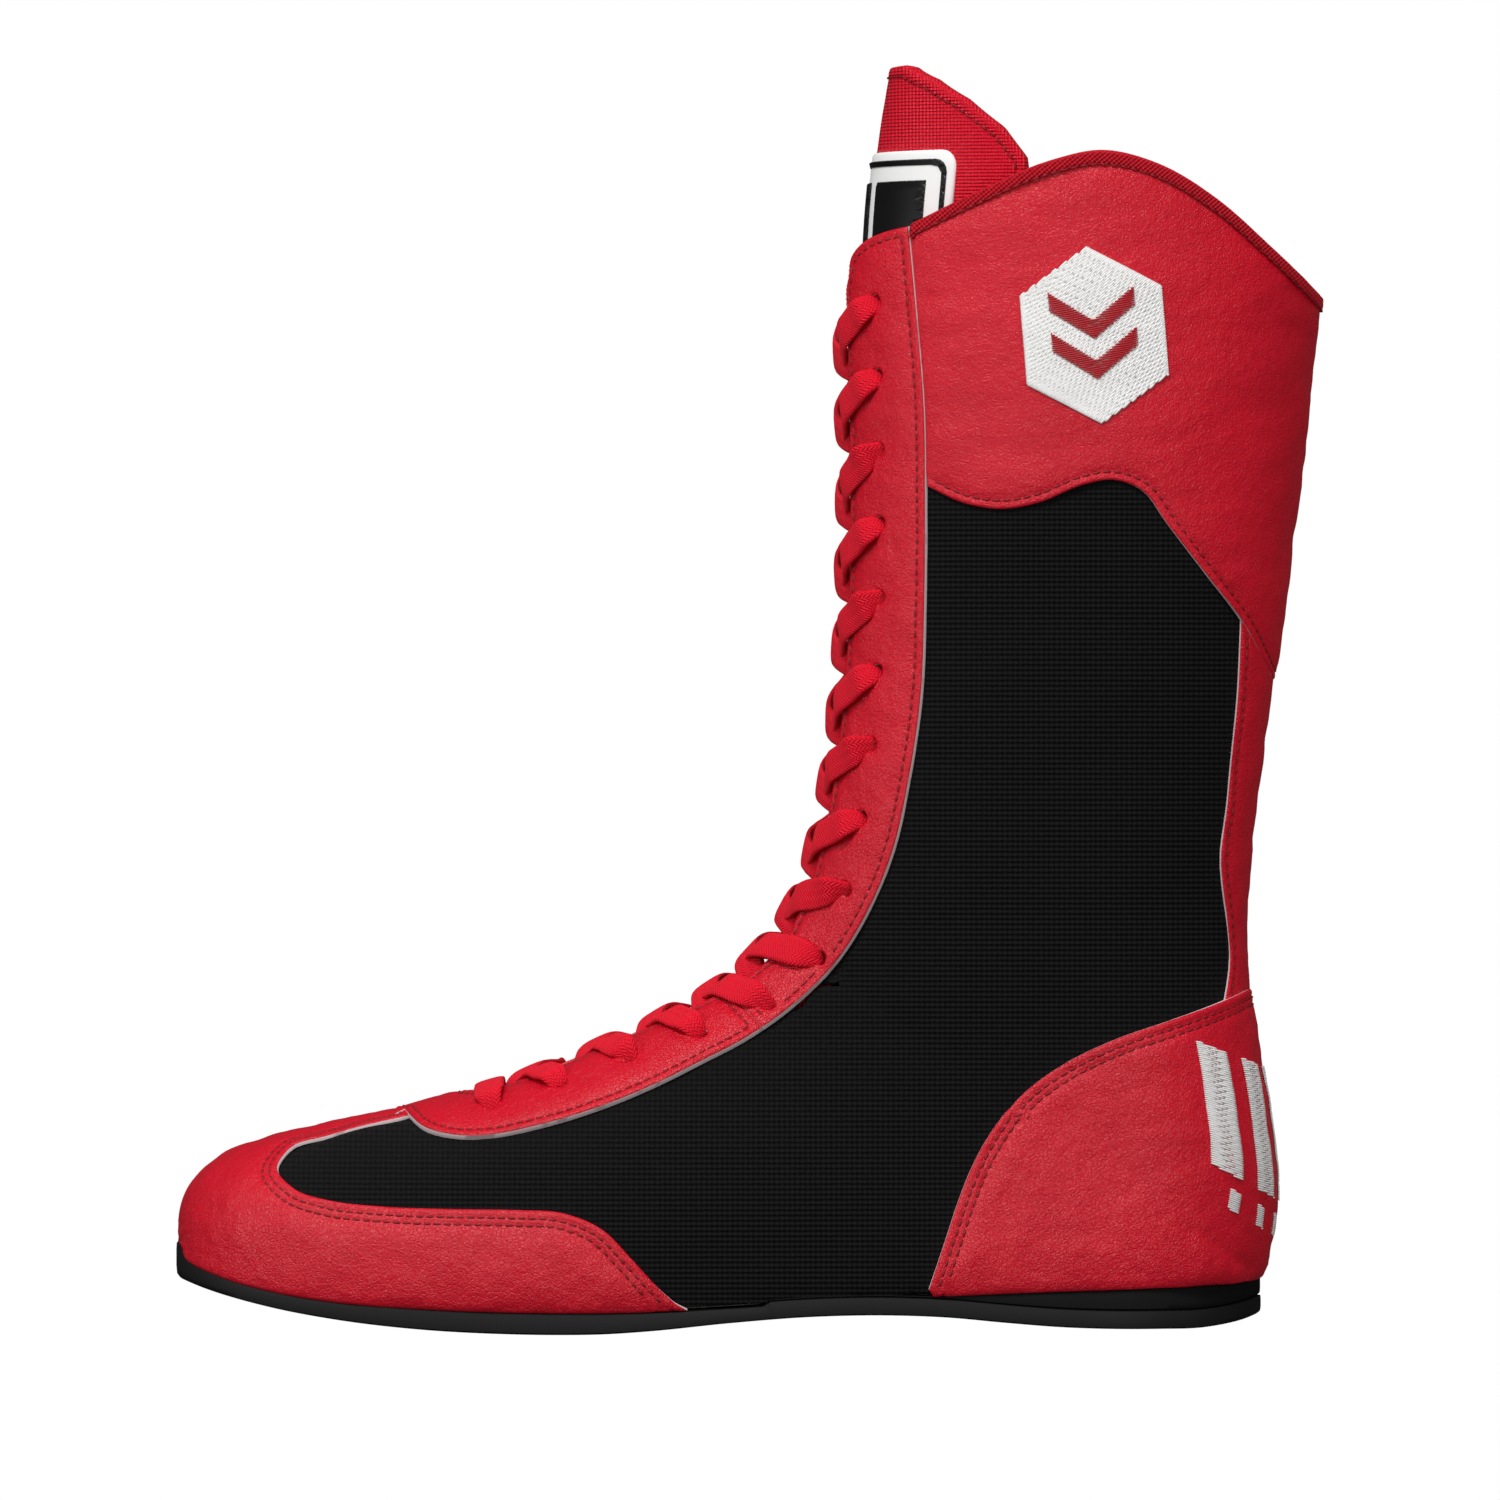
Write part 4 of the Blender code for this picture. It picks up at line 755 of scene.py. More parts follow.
class Panel:
    """A cut sheet lying on the last: its outline, stitch rows, shape and mesh."""

    def __init__(self, outline, holes=(), rows=(), low=0.05, high=LEATHER, spacing=1.9, edge=0.8, puff=0.25,
                 step=1.3, seams=None, flat=pattern):
        holes = [np.array(hole, float) for hole in holes]
        self.outer = counterclockwise(smooth_loop(outline, step * FINE))
        self.loops = [self.outer] + holes
        self.cut = [counterclockwise(outline)] + holes
        self.rows, self.low, self.high, self.seams = rows, low, high, seams
        self.edge, self.puff = edge, puff
        rings = []
        for d in (0.35, edge):
            rings.append(row_inside(self.cut, d, step * FINE))
        for d in sorted({row + off for row in rows for off in (-0.6, 0.0, 0.6)}):
            rings.append(row_inside(self.cut, d, step * FINE, seams=seams))
        for hole in self.loops[1:]:
            centre = hole.mean(axis=0)
            for grow in (1.22, 1.5):
                rings.append(centre + (hole - centre) * grow)
        apart = spacing * 0.55 * FINE
        sewn = (max(rows) + 0.6 if rows else edge) + apart
        grid = grid_places(self.loops, spacing * FINE, edge + apart if seams else sewn, seams, sewn)
        inner = np.concatenate(rings + [grid])
        self.places, on_loop, self.faces = triangles_between(self.loops, inner, flat)
        self.distance = loop_distance(self.places, self.loops)
        self.distance[on_loop] = 0
        self.from_seam = loop_distance(self.places, seams, closed=False) if seams else self.distance
        self.relief = np.zeros(len(self.places))

    def heights(self):
        """The sheet's top over the last: rounded at its edge, pulled down at its seams, and padded."""
        d = self.distance
        h = np.full(len(d), self.high)
        h -= EDGE_DROP * np.clip(1 - d / self.edge, 0, 1) ** 2
        for row in self.rows:
            h -= SEAM_DROP * np.exp(-((self.from_seam - row) / 0.55) ** 2)
        if self.rows:
            h += self.puff * np.clip((d - max(self.rows)) / 5.0, 0, 1) ** 0.6
        return h + self.relief * np.clip(d / 3.0, 0, 1)

    def wrinkle(self, *layers):
        """Adds relief: each layer is (size, (stretch along x, y and z), height, seed)."""
        p = last_point(*self.places.T)
        for size, stretch, height, seed in layers:
            self.relief = self.relief + height * ripple(p / np.array(stretch), size, seed)
        return self

    def build(self, name, material, rim=None, back=None):
        """The sheet as a closed mesh, with its own materials on the cut edge and the back."""
        top = lifted(self.places, self.heights())
        bottom = lifted(self.places, self.low)
        n = len(top)
        faces = self.faces.copy()
        a, b, c = (top[faces[:, i]] for i in range(3))
        out = last_normal(*self.places[faces[:, 0]].T)
        flipped = (np.cross(b - a, c - a) * out).sum(axis=1) < 0
        faces[flipped] = faces[flipped][:, ::-1]
        edges = {(f[i], f[(i + 1) % 3]): None for f in faces for i in range(3)}
        walls = []
        for i, j in edges:
            if (j, i) not in edges:
                walls += [(j, i, i + n), (j, i + n, j + n)]
        all_faces = np.concatenate([faces, faces[:, ::-1] + n, np.array(walls, int)])
        kind = np.concatenate([np.zeros(len(faces), int), np.full(len(faces), 1 if back is None else 2),
                               np.ones(len(walls), int)])
        materials = [MATERIALS[material], MATERIALS[rim or material]] + ([MATERIALS[back]] if back else [])
        obj = add_mesh(name, np.concatenate([top, bottom]), all_faces, materials, kind)
        obj.data.set_sharp_from_angle(angle=math.radians(52))
        return obj

    def seam_rows(self):
        """Lines for the stitches, one for each row along the seams."""
        return [row_inside(self.cut, row, 0.6, seams=self.seams) for row in self.rows]

    def height_over(self, places):
        """The panel's height at places on it, from its three nearest points."""
        tree = tree_of(last_point(*self.places.T))
        heights = self.heights()
        found = []
        for p in last_point(*np.asarray(places, float).T):
            near = tree.find_n(p, 3)
            weight = np.array([1 / (n[2] + 0.05) for n in near])
            found.append((weight * heights[[n[1] for n in near]]).sum() / weight.sum())
        return np.array(found)


def capsules(name, starts, ends, normals, radius, material, droop=1.0, sides=6):
    """Short round threads, each from a start to an end point, as one mesh in metres."""
    starts, ends, normals = (np.asarray(v, float) for v in (starts, ends, normals))
    length = np.linalg.norm(ends - starts, axis=1, keepdims=True)
    along = unit(ends - starts)
    side = unit(np.cross(along, normals))
    up = np.cross(side, along)
    # each ring's share of the way along, its size and its rise, in radii
    rings = ((0.0, 0.45, -0.55 * droop), (0.14, 0.85, -0.1), (0.5, 1.0, 0.12), (0.86, 0.85, -0.1),
             (1.0, 0.45, -0.55 * droop))
    turn = np.arange(sides) / sides * math.tau
    points = []
    for share, size, rise in rings:
        centre = starts + along * length * share + up * radius * rise
        for angle in turn:
            points.append(centre + radius * size * (side * math.cos(angle) + up * math.sin(angle) * 0.9))
    points = np.stack(points, axis=1)
    per = len(rings) * sides
    one = tube_faces(len(rings), sides)
    faces = [tuple(i + n * per for i in face) for n in range(len(starts)) for face in one]
    return add_mesh(name, points.reshape(-1, 3), faces, [material])


def stitch_runs(row, gap=6.0):
    """A row of places split where it jumps."""
    p = last_point(*np.array(row).T)
    hops = np.linalg.norm(np.diff(p, axis=0), axis=1)
    return [run for run in np.split(np.array(row), np.where(hops > gap)[0] + 1) if len(run) > 3]


def heights_at(surface, places):
    """Heights over the last at these places, on a panel or at one height."""
    if isinstance(surface, Panel):
        return surface.height_over(places)
    return np.full(len(places), surface)


THREAD_SHARE = 0.11  # of the pitch, from a needle hole to where the thread comes up


def stitches(name, lines, surface, pitch=2.7, radius=0.36):
    """Lockstitch threads along lines of places, on a panel or at one height."""
    starts, ends, normals = [], [], []
    for line in lines:
        for run in stitch_runs(line):
            even = even_line(run, pitch)
            if len(even) < 3:
                continue
            a, b = even[:-1], even[1:]
            starts.append(lifted(a + (b - a) * THREAD_SHARE, heights_at(surface, a) + 0.02))
            ends.append(lifted(b - (b - a) * THREAD_SHARE, heights_at(surface, b) + 0.02))
            normals.append(last_normal(*a.T))
    return capsules(name, np.concatenate(starts), np.concatenate(ends), np.concatenate(normals),
                    radius * MM, MATERIALS["thread"])


# Outlines of the pieces

K_SEAM = k_of_front(STAY_SEAM_X)
K_THROAT = k_of_front(THROAT_FRONT_X)
K_FACING_TOP = locate(*FACING_TOP[0])[0]
LAST_EYELET = (-49.0, 269.0)


def eyelet_places():
    """The lateral eyelets, evenly spaced up the throat."""
    line = arc_line(k_of_front(FIRST_EYELET_X), locate(*LAST_EYELET)[0], EYELET_ARC, 120)
    length = lengths(last_point(*line.T))
    return at_lengths(np.linspace(0, length[-1], EYELET_PAIRS), length, line)


EYELETS = eyelet_places()


def holes(side, first, last):
    """Round holes for some of the eyelets of one side."""
    return [circle_at(place, EYELET_RADIUS) for place in EYELETS[first:last] * (1, side)]


def sole_line(k_from, k_to, count):
    return np.column_stack([np.linspace(k_from, k_to, count), np.full(count, SOLE_EDGE)])


def toe_cap_outline():
    window = line_on_last(TOE_WINDOW)
    window = window[window[:, 1] < 0.985]
    end = k_of_front(STAY_FRONT_X) + 7
    strip = [(end, window[-1][1] * 0.8), (end, 0.04)]
    sole = sole_line(0.3, window[0][0] + 2, 120)
    half = joined(sole, window, strip)
    return joined(half, mirrored(half))


# The edge that runs on from the throat stay to the facing
LOWER_EDGE = line_on_last(STAY_LOWER[::-1] + FACING_REAR[-2::-1])


def stay_outline():
    low = LOWER_EDGE[LOWER_EDGE[:, 0] < K_SEAM - 1][::-1]
    front = [(k_of_front(STAY_FRONT_X), 0.14)]
    edge = arc_line(K_SEAM - 0.1, K_THROAT + 7, THROAT_ARC, 8)
    curve = [(K_THROAT + 2.5, s_of_arc(K_THROAT, 10.0)), (K_THROAT, s_of_arc(K_THROAT, 5.0))]
    inner = joined(edge, curve)
    outer = joined([(K_SEAM - 0.1, k_to_s(LOWER_EDGE, K_SEAM))], low, front)
    return joined(outer, mirrored(outer), inner * (1, -1), inner[::-1])


def facing_outline(side):
    rear = LOWER_EDGE[LOWER_EDGE[:, 0] > K_SEAM + 1][::-1]
    top = line_on_last(FACING_TOP)
    edge = arc_line(K_SEAM + 0.1, K_FACING_TOP - 3, THROAT_ARC, 18)
    return joined(edge, top, rear, [(K_SEAM + 0.1, k_to_s(LOWER_EDGE, K_SEAM))]) * (1, side)


def collar_edge():
    line = line_on_last(COLLAR_TOP)
    line[-1, 1] = 1.0
    return line


def collar_outline():
    top = shifted(collar_edge(), 1.0)
    low = line_on_last(COLLAR_LOWER)
    low[-1, 1] = 1.0
    rear = line_on_last(FACING_REAR)
    side_edge = rear[(rear[:, 0] < top[0][0] - 2) & (rear[:, 0] > low[0][0] + 2)]
    lateral = joined(low[:0:-1], side_edge[::-1], top)
    return joined(lateral, round_the_back(lateral))


def backstay_outline():
    edge = line_on_last(BACKSTAY_EDGE)
    low = line_on_last(COLLAR_LOWER)
    low[-1, 1] = 1.0
    top = shifted(low[low[:, 1] > edge[0][1]], -2.0)
    heel = line_on_last(HEEL_TOP)
    heel[0, 1] = 1.0
    bottom = shifted(heel[(heel[:, 1] > edge[-1][1] + 0.02) & (heel[:, 0] > K_HEEL + 20)], 2.0)
    edge = edge[edge[:, 0] < top[0][0] - 3]
    lateral = joined(top[::-1], edge, bottom[::-1])
    return joined(lateral, round_the_back(lateral))


def heel_outline():
    line = line_on_last(HEEL_TOP)
    line[0, 1] = 1.0
    line = np.array([place for place in line if place[0] > K_HEEL or place[1] < 0.985])
    sole = sole_line(line[-1][0], K_HEEL, 60)
    lateral = joined(line, sole)
    return joined(lateral, [(K_HEEL + 1, 1.0)], round_the_back(lateral))


def quarter_outline(side):
    collar = shifted(collar_edge(), 2.0)
    collar = joined([(K_FACING_TOP - 3, s_of_arc(K_FACING_TOP, LINING_ARC))], collar)
    sole = sole_line(K_HEEL, 5.0, 160)
    throat = arc_line(K_THROAT, K_FACING_TOP - 8, LINING_ARC, 20)
    front = [(5.0, 0.0), (K_THROAT - 12, 0.0), (K_THROAT - 10, s_of_arc(K_THROAT, 20.0))]
    return joined(collar, [(K_HEEL + 1, 1.0)], sole, front, throat) * (1, side)


# The upper's sheets

def place(obj, body, slot, *nodes):
    """Fixes a visual piece to its body and hides the CAD nodes it stands for. The material slot is not used.
    """
    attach(obj, body)
    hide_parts(*nodes)
    return obj


# Relief of the leather and cloth: size, stretch, height and seed of each layer
CREASES = ((9.0, (1.0, 1.0, 1.0), 0.38, 3), (4.2, (1.0, 1.0, 2.2), 0.16, 5))
COLLAR_CREASES = ((16.0, (1.4, 1.0, 0.8), 0.55, 11), (5.0, (1.6, 1.0, 0.8), 0.12, 4))
SLACK = ((24.0, (1.0, 1.0, 0.8), 0.5, 21), (9.0, (1.0, 1.0, 1.6), 0.12, 22))


def both_sides(line):
    return [np.array(line, float), np.array(line, float) * (1, -1)]


def round_back(line):
    return [np.array(line, float), round_the_back(line)]


def build_sides():
    """Each side's cloth and lining, its leather facing and the tape behind the eyelets."""
    for side, word in ((1, "lateral"), (-1, "medial")):
        quarter = Panel(quarter_outline(side), low=-0.75, high=0.0, spacing=2.6, edge=0.5, step=2.0)
        quarter.wrinkle(*SLACK)
        place(quarter.build(f"quarter_{word}_cloth", "textile", back="lining"), "upper", "black_textile",
              f"quarter_{word}")
        lining = Panel(quarter_outline(side), low=-2.9, high=-2.2, spacing=4.0, edge=0.5, step=2.6)
        place(lining.build(f"lining_{word}_cloth", "lining"), "upper", "lining_cloth", f"lining_{word}")
        facing = Panel(facing_outline(side), holes(side, STAY_PAIRS, EYELET_PAIRS), rows=(STITCH_IN,),
                       spacing=1.7, high=FACING_HIGH, flat=side_view)
        facing.wrinkle(*CREASES)
        place(facing.build(f"facing_{word}_leather", "leather", "raw", "raw"), "upper", "red_leather",
              f"facing_{word}")
        place(stitches(f"facing_{word}_stitches", facing.seam_rows(), facing), "upper", "red_leather")
        strip = joined(arc_line(K_THROAT + 2, K_FACING_TOP - 2, THROAT_ARC + 0.7, 20),
                       arc_line(K_FACING_TOP - 2, K_THROAT + 2, LINING_ARC + 1, 16)) * (1, side)
        tape = Panel(strip, holes(side, 0, EYELET_PAIRS), low=-1.1, high=-0.3, spacing=3.0, edge=0.4,
                     step=2.0)
        place(tape.build(f"eyelet_tape_{word}_web", "web"), "upper", "eyelet_webbing", f"eyelet_tape_{word}")


def build_overlays():
    """The leather pieces, each with its stitched edges as seams."""
    window = line_on_last(TOE_WINDOW)
    toe = Panel(toe_cap_outline(), rows=(STITCH_IN, STITCH_IN + STITCH_ROW), spacing=1.9, puff=0.35,
                seams=both_sides(window))
    stay = Panel(stay_outline(), holes(1, 0, STAY_PAIRS) + holes(-1, 0, STAY_PAIRS), rows=(STITCH_IN,),
                 low=0.1, high=FACING_HIGH, spacing=1.7)
    collar = Panel(collar_outline(), rows=(STITCH_IN,), spacing=2.0, puff=0.5,
                   seams=round_back(line_on_last(COLLAR_LOWER)))
    back = Panel(backstay_outline(), rows=(STITCH_IN,), low=0.0, high=0.9, spacing=1.9,
                 seams=round_back(line_on_last(BACKSTAY_EDGE)))
    heel = Panel(heel_outline(), rows=(STITCH_IN, STITCH_IN + STITCH_ROW), spacing=2.0, high=1.6, puff=0.4,
                 seams=round_back(line_on_last(HEEL_TOP)), flat=unrolled)
    for panel, node, creases in ((toe, "toe_cap", CREASES), (stay, "throat_stay", CREASES),
                                 (collar, "collar_panel", COLLAR_CREASES), (back, "backstay", CREASES),
                                 (heel, "heel_cap", CREASES)):
        panel.wrinkle(*creases)
        place(panel.build(f"{node}_leather", "leather", "raw", "raw"), "upper", "red_leather", node)
        place(stitches(f"{node}_stitches", panel.seam_rows(), panel), "upper", "red_leather")
    return collar, heel


build_sides()
COLLAR, HEEL = build_overlays()


# Swept pieces

def sweep(name, centres, sides, ups, profile, material):
    """A solid swept along centres in metres: profile is (across, up) in metres at each centre."""
    rings = centres[:, None] + sides[:, None] * profile[..., :1] + ups[:, None] * profile[..., 1:]
    length = lengths(centres)
    around = lengths(profile[len(profile) // 2])
    uv = np.stack(np.broadcast_arrays(length[:, None], around[None]), axis=-1).reshape(-1, 2)
    return add_mesh(name, rings.reshape(-1, 3), tube_faces(*rings.shape[:2]), [MATERIALS[material]], uv=uv)


def oval(half_wide, half_thick, sides=14, power=0.75):
    """A flattened round outline."""
    turn = np.arange(sides) / sides * math.tau
    ring = np.column_stack([np.cos(turn), np.sin(turn)])
    return np.sign(ring) * np.abs(ring) ** power * (half_wide, half_thick)


# The lace

LACE_THICK = 0.8  # half the thickness of the plump woven tube
TOP_HEIGHT = 3.3  # of a strand where it lies on the leather
BOW = -5.0  # how far a strand hangs below the straight line between its eyelets, along k
STAY_BOW = 0.35  # of that, on the foot
BELOW = -2.2  # a strand's height on its way up behind the next eyelet
BRIDGE = 1.9  # the upper strand's height over the throat
DIP = 0.1  # the lower strand's


def lace_stops():
    """Every eyelet in the order the lace visits them, from the lateral top one."""
    down = [(i, 1 if i % 2 == 0 else -1) for i in range(EYELET_PAIRS - 1, -1, -1)]
    order = down + [(i, -side) for i, side in down[::-1]]
    return [(EYELETS[i][0], EYELETS[i][1] * side) for i, side in order]


def lace_line():
    """The lace's centre line: places, heights, how flat it lies and how tightly it is gathered."""
    stops = lace_stops()
    rows = []
    for n in range(len(stops) - 1):
        a, b = np.array(stops[n]), np.array(stops[n + 1])
        middle = BRIDGE if (n % 2 == 1) != (n >= EYELET_PAIRS) else DIP
        bar = n == EYELET_PAIRS - 1
        down = n < EYELET_PAIRS - 1
        on_foot = min(a[0], b[0]) < K_SEAM
        sag = 0.6 * math.sin(n * 2.1)
        if not bar:
            sag += BOW * (STAY_BOW if on_foot else 1.0)
        # along the strand: share of the way, height, flatness and gathering
        shape = [(0.0, -0.9, 0.0, 1.0), (0.02, 1.9, 0.3, 0.8), (0.055, TOP_HEIGHT + 0.5, 0.9, 0.25),
                 (0.14, TOP_HEIGHT + 0.1, 1.0, 0.0), (0.25, TOP_HEIGHT - 0.1, 1.0, 0.0),
                 (0.37, middle + 1.0, 1.0, 0.0), (0.5, middle, 1.0, 0.0),
                 (0.62, (middle + BELOW) / 2, 1.0, 0.0), (0.74, BELOW, 1.0, 0.0),
                 (0.88, BELOW, 1.0, 0.3), (0.97, BELOW + 0.2, 0.2, 0.9)]
        if bar:
            half = shape[:5] + [(0.37, TOP_HEIGHT - 0.6, 1.0, 0.0)]
            rest = [(1 - q, h, f, g) for q, h, f, g in half[:0:-1]]
            shape = half + [(0.5, TOP_HEIGHT - 0.9, 1.0, 0.0)] + rest
        elif not down:
            shape = [(1 - q, h, f, g) for q, h, f, g in shape[::-1]]
            shape = shape[:-1] if n < len(stops) - 2 else shape
        for q, h, flat, gather in shape:
            k, s = a + (b - a) * q
            rows.append((k + math.sin(math.pi * q) * sag, s, h, flat, gather))
    return np.array(rows)


def lace_ups(along, normal, flat):
    """The lace's own up at each centre: carried along it, and drawn to the surface's where it lies flat."""
    ups = np.zeros_like(along)
    up = normal[0]
    for i in range(len(along)):
        up = up - along[i] * up.dot(along[i])
        up /= max(np.linalg.norm(up), 1e-9)
        target = normal[i] - along[i] * normal[i].dot(along[i])
        size = np.linalg.norm(target)
        if flat[i] > 0.3 and size > 0.2:
            sign = 1 if up.dot(target) >= 0 else -1
            up = up + sign * target / size * 0.22 * flat[i]
            up /= np.linalg.norm(up)
        ups[i] = up
    return ups


LACE_STEP = 0.00075  # metres from ring to ring


def build_lace():
    rows = lace_line()
    control = lifted(rows[:, :2], rows[:, 2])
    hop = np.maximum(np.linalg.norm(np.diff(control, axis=0), axis=1), 2e-4)
    at = np.concatenate([[0], np.cumsum(hop)])
    data = smooth_value(at, np.column_stack([control, rows]), np.arange(0, at[-1], LACE_STEP * FINE))
    centre = data[:, :3]
    gather = np.clip(data[:, 7], 0, 1)
    along = unit(np.gradient(centre, axis=0))
    ups = lace_ups(along, last_normal(*data[:, 3:5].T), data[:, 6])
    p = centre / MM
    wide = (LACE_HALF * (1 - 0.38 * gather) * (1 + 0.05 * ripple(p, 7.0, 31))) * MM
    thick = (LACE_THICK * (1 + 0.55 * gather) * (1 + 0.10 * ripple(p, 5.0, 32))) * MM
    ring = oval(1.0, 1.0, 16, 0.7)
    hollow = gather[:, None] * 0.15 * (1 - ring[:, 0] ** 2)
    profile = np.stack([ring[:, 0] * wide[:, None], (ring[:, 1] - hollow) * thick[:, None]], axis=-1)
    lace = sweep("lace_cord", centre, np.cross(along, ups), ups, profile, "lace")
    place(lace, "upper", "lace_weave", "lace")


TAIL_BELOW = 5.0  # from the top eyelet down to the tail's top, along k
TAIL_ARC = 27.6
# In metres
TAIL_CLEARANCE = 0.0012  # the tail stands off, to pass over the tongue patch as it is pulled
TAIL_HALF = (0.0027, 0.00055)  # half its width and thickness
TIP_HALF = (0.0017, 0.0006)
TAPER = 0.006  # the tail's gathered end
TIP_SIZES = (0.85, 1, 1, 1, 0.94, 0.94, 1, 1, 1, 1, 0.95, 0.7)  # with a crimped groove


def straight_drop(name, x, y, zs, outward, half, sizes, material):
    """A flat strip hanging straight down, its width scaled at each height."""
    count = len(zs)
    centre = np.column_stack([np.full(count, x), np.full(count, y), zs])
    ups = np.repeat(outward[None], count, 0)
    sides = np.cross([0, 0, -1.0], ups)
    return sweep(name, centre, sides, ups, oval(*half)[None] * sizes, material)


def build_tails():
    """The loose lace ends and their tips, tucked inside the throat."""
    for side, word in ((1, "lateral"), (-1, "medial")):
        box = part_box(f"lace_end_{word}")
        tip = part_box(f"aglet_{word}")
        middle = (box[0] + box[1]) / 2
        k = EYELETS[-1][0] - TAIL_BELOW
        outward = unit(last_normal(np.array([k]), np.array([side * s_of_arc(k, TAIL_ARC)]))[0] * (1, 1, 0))
        x = middle.x + TAIL_CLEARANCE * outward[0]
        y = middle.y + TAIL_CLEARANCE * outward[1]
        zs = np.linspace(box[1].z, box[0].z - 0.0004, 40)
        shrink = np.interp(zs, [box[0].z, box[0].z + TAPER], [0.55, 1.0])
        sizes = np.stack([shrink, np.ones(len(zs))], -1)[:, None]
        tail = straight_drop(f"lace_tail_{word}", x, y, zs, outward, TAIL_HALF, sizes, "lace")
        place(tail, f"lace_end_{word}", "lace_weave", f"lace_end_{word}")
        zs = np.linspace(tip[1].z, tip[0].z, len(TIP_SIZES))
        sizes = np.array(TIP_SIZES)[:, None, None]
        end = straight_drop(f"lace_tip_{word}", x, y, zs, outward, TIP_HALF, sizes, "aglet")
        place(end, f"lace_end_{word}", "aglet_plastic", f"aglet_{word}")


# The collar's binding

BINDING_DEPTH = 4.0  # from the top edge down
BINDING_OUT = LEATHER + 0.9  # heights over the last, outside and inside the collar
BINDING_IN = -3.6


def build_binding():
    edge = collar_edge()
    edge[0, 1] += 0.012
    line = even_line(joined(edge, round_the_back(edge)), 1.1 * FINE)
    if abs(line[0, 1]) > abs(line[-1, 1]):
        line = line[::-1]
    mid, reach = (BINDING_OUT + BINDING_IN) / 2, (BINDING_OUT - BINDING_IN) / 2
    # up the inside, over the top and down the outside: height, and share of the way up
    profile = [(BINDING_IN, 0.0), (BINDING_IN - 0.1, 0.35), (BINDING_IN, 0.75)]
    for a in np.linspace(0.15, math.pi - 0.15, 11):
        profile.append((mid - reach * math.cos(a), 0.78 + 0.24 * math.sin(a)))
    profile += [(BINDING_OUT, 0.75), (BINDING_OUT + 0.12, 0.4), (BINDING_OUT - 0.1, 0.06),
                (BINDING_OUT - 0.9, 0.0)]
    profile = np.array(profile)
    puff = 0.15 * ripple(last_point(*line.T), 6.0, 41)
    rings = []
    for h, depth in profile:
        moved = shifted(line, (1 - depth) * BINDING_DEPTH - 0.6)
        rings.append(lifted(moved, h + puff * (h > 0)))
    rings = np.stack(rings, axis=1)
    faces = [face[::-1] for face in tube_faces(*rings.shape[:2])]
    binding = add_mesh("collar_binding_tape", rings.reshape(-1, 3), faces, [MATERIALS["tape"]])
    place(binding, "upper", "binding_weave", "collar_binding")
    row = shifted(line, BINDING_DEPTH * 0.78)
    place(stitches("collar_binding_stitches", [row], BINDING_OUT - 0.05, pitch=2.6, radius=0.24),
          "upper", "binding_weave")


build_lace()
build_tails()
build_binding()


# The tongue

TONGUE_BASE_X = -168.0
# The tongue's edge as (k, s)
TONGUE_WIDTHS = ((78, 0.20), (192, 0.34), (420, 0.42), (474, 0.43), (484, 0.42), (492, 0.38), (500, 0.31),
                 (506, 0.23), (510, 0.14), (512, 0.04))
TONGUE_SHOULDER = 474
MM_PER_S = 85.0
HEM = 3.6  # the width of the tape round its edge
SATIN = (-7.8, -6.6)  # heights over the last: the face's underside and top
SPONGE = (-10.9, -7.95)
BACK = (-11.9, -11.1)
PATCH_LOW, PATCH_HIGH, PATCH_HALF = 206.0, 309.0, 45.0
PATCH_CORNER = 5.0
PATCH_THICK = 1.1
FRAME = (2.4, 4.0)  # the printed frame's edges, inwards from the patch's edge
BARS = ((-36.0, 9.0), (-21.0, 14.0), (-1.0, 9.0), (14.0, 22.0))  # each printed bar's start and width


def tongue_outline(inset):
    table = np.array(TONGUE_WIDTHS, float)
    base = k_of_front(TONGUE_BASE_X) + inset
    rounding = table[table[:, 0] > TONGUE_SHOULDER, 0]
    ks = np.concatenate([np.linspace(base, TONGUE_SHOULDER, 16), rounding])
    widths = np.interp(ks, *table.T) - inset / MM_PER_S
    rise = np.maximum(ks - TONGUE_SHOULDER, 0) / (rounding[-1] - TONGUE_SHOULDER)
    side = np.column_stack([ks - inset * rise, widths])[widths > 0.02]
    return joined(side, mirrored(side))


def bending(obj, slot, *nodes):
    """Bakes a tongue piece's placement into its mesh and hides the CAD nodes it stands for. The material slot
    is not used.
    """
    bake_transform(obj)
    if nodes:
        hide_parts(*nodes)


def build_tongue():
    face = Panel(tongue_outline(HEM * 0.55), low=SATIN[0], high=SATIN[1], spacing=2.4, edge=0.5, step=1.8)
    face.wrinkle((30.0, (1, 1, 1.4), 0.5, 51), (8.0, (1, 1, 1), 0.12, 52))
    bending(face.build("tongue_satin_face", "satin"), "tongue_satin", "tongue")
    pad = Panel(tongue_outline(HEM + 1.5), low=SPONGE[0], high=SPONGE[1], spacing=5.0, edge=2.0, step=3.0)
    bending(pad.build("tongue_sponge", "sponge"), "tongue_foam", "tongue_padding")
    back = Panel(tongue_outline(HEM * 0.55), low=BACK[0], high=BACK[1], spacing=4.0, edge=0.5, step=2.4)
    bending(back.build("tongue_back_cloth", "lining"), "tongue_lining_cloth", "tongue_lining")
    build_hem()


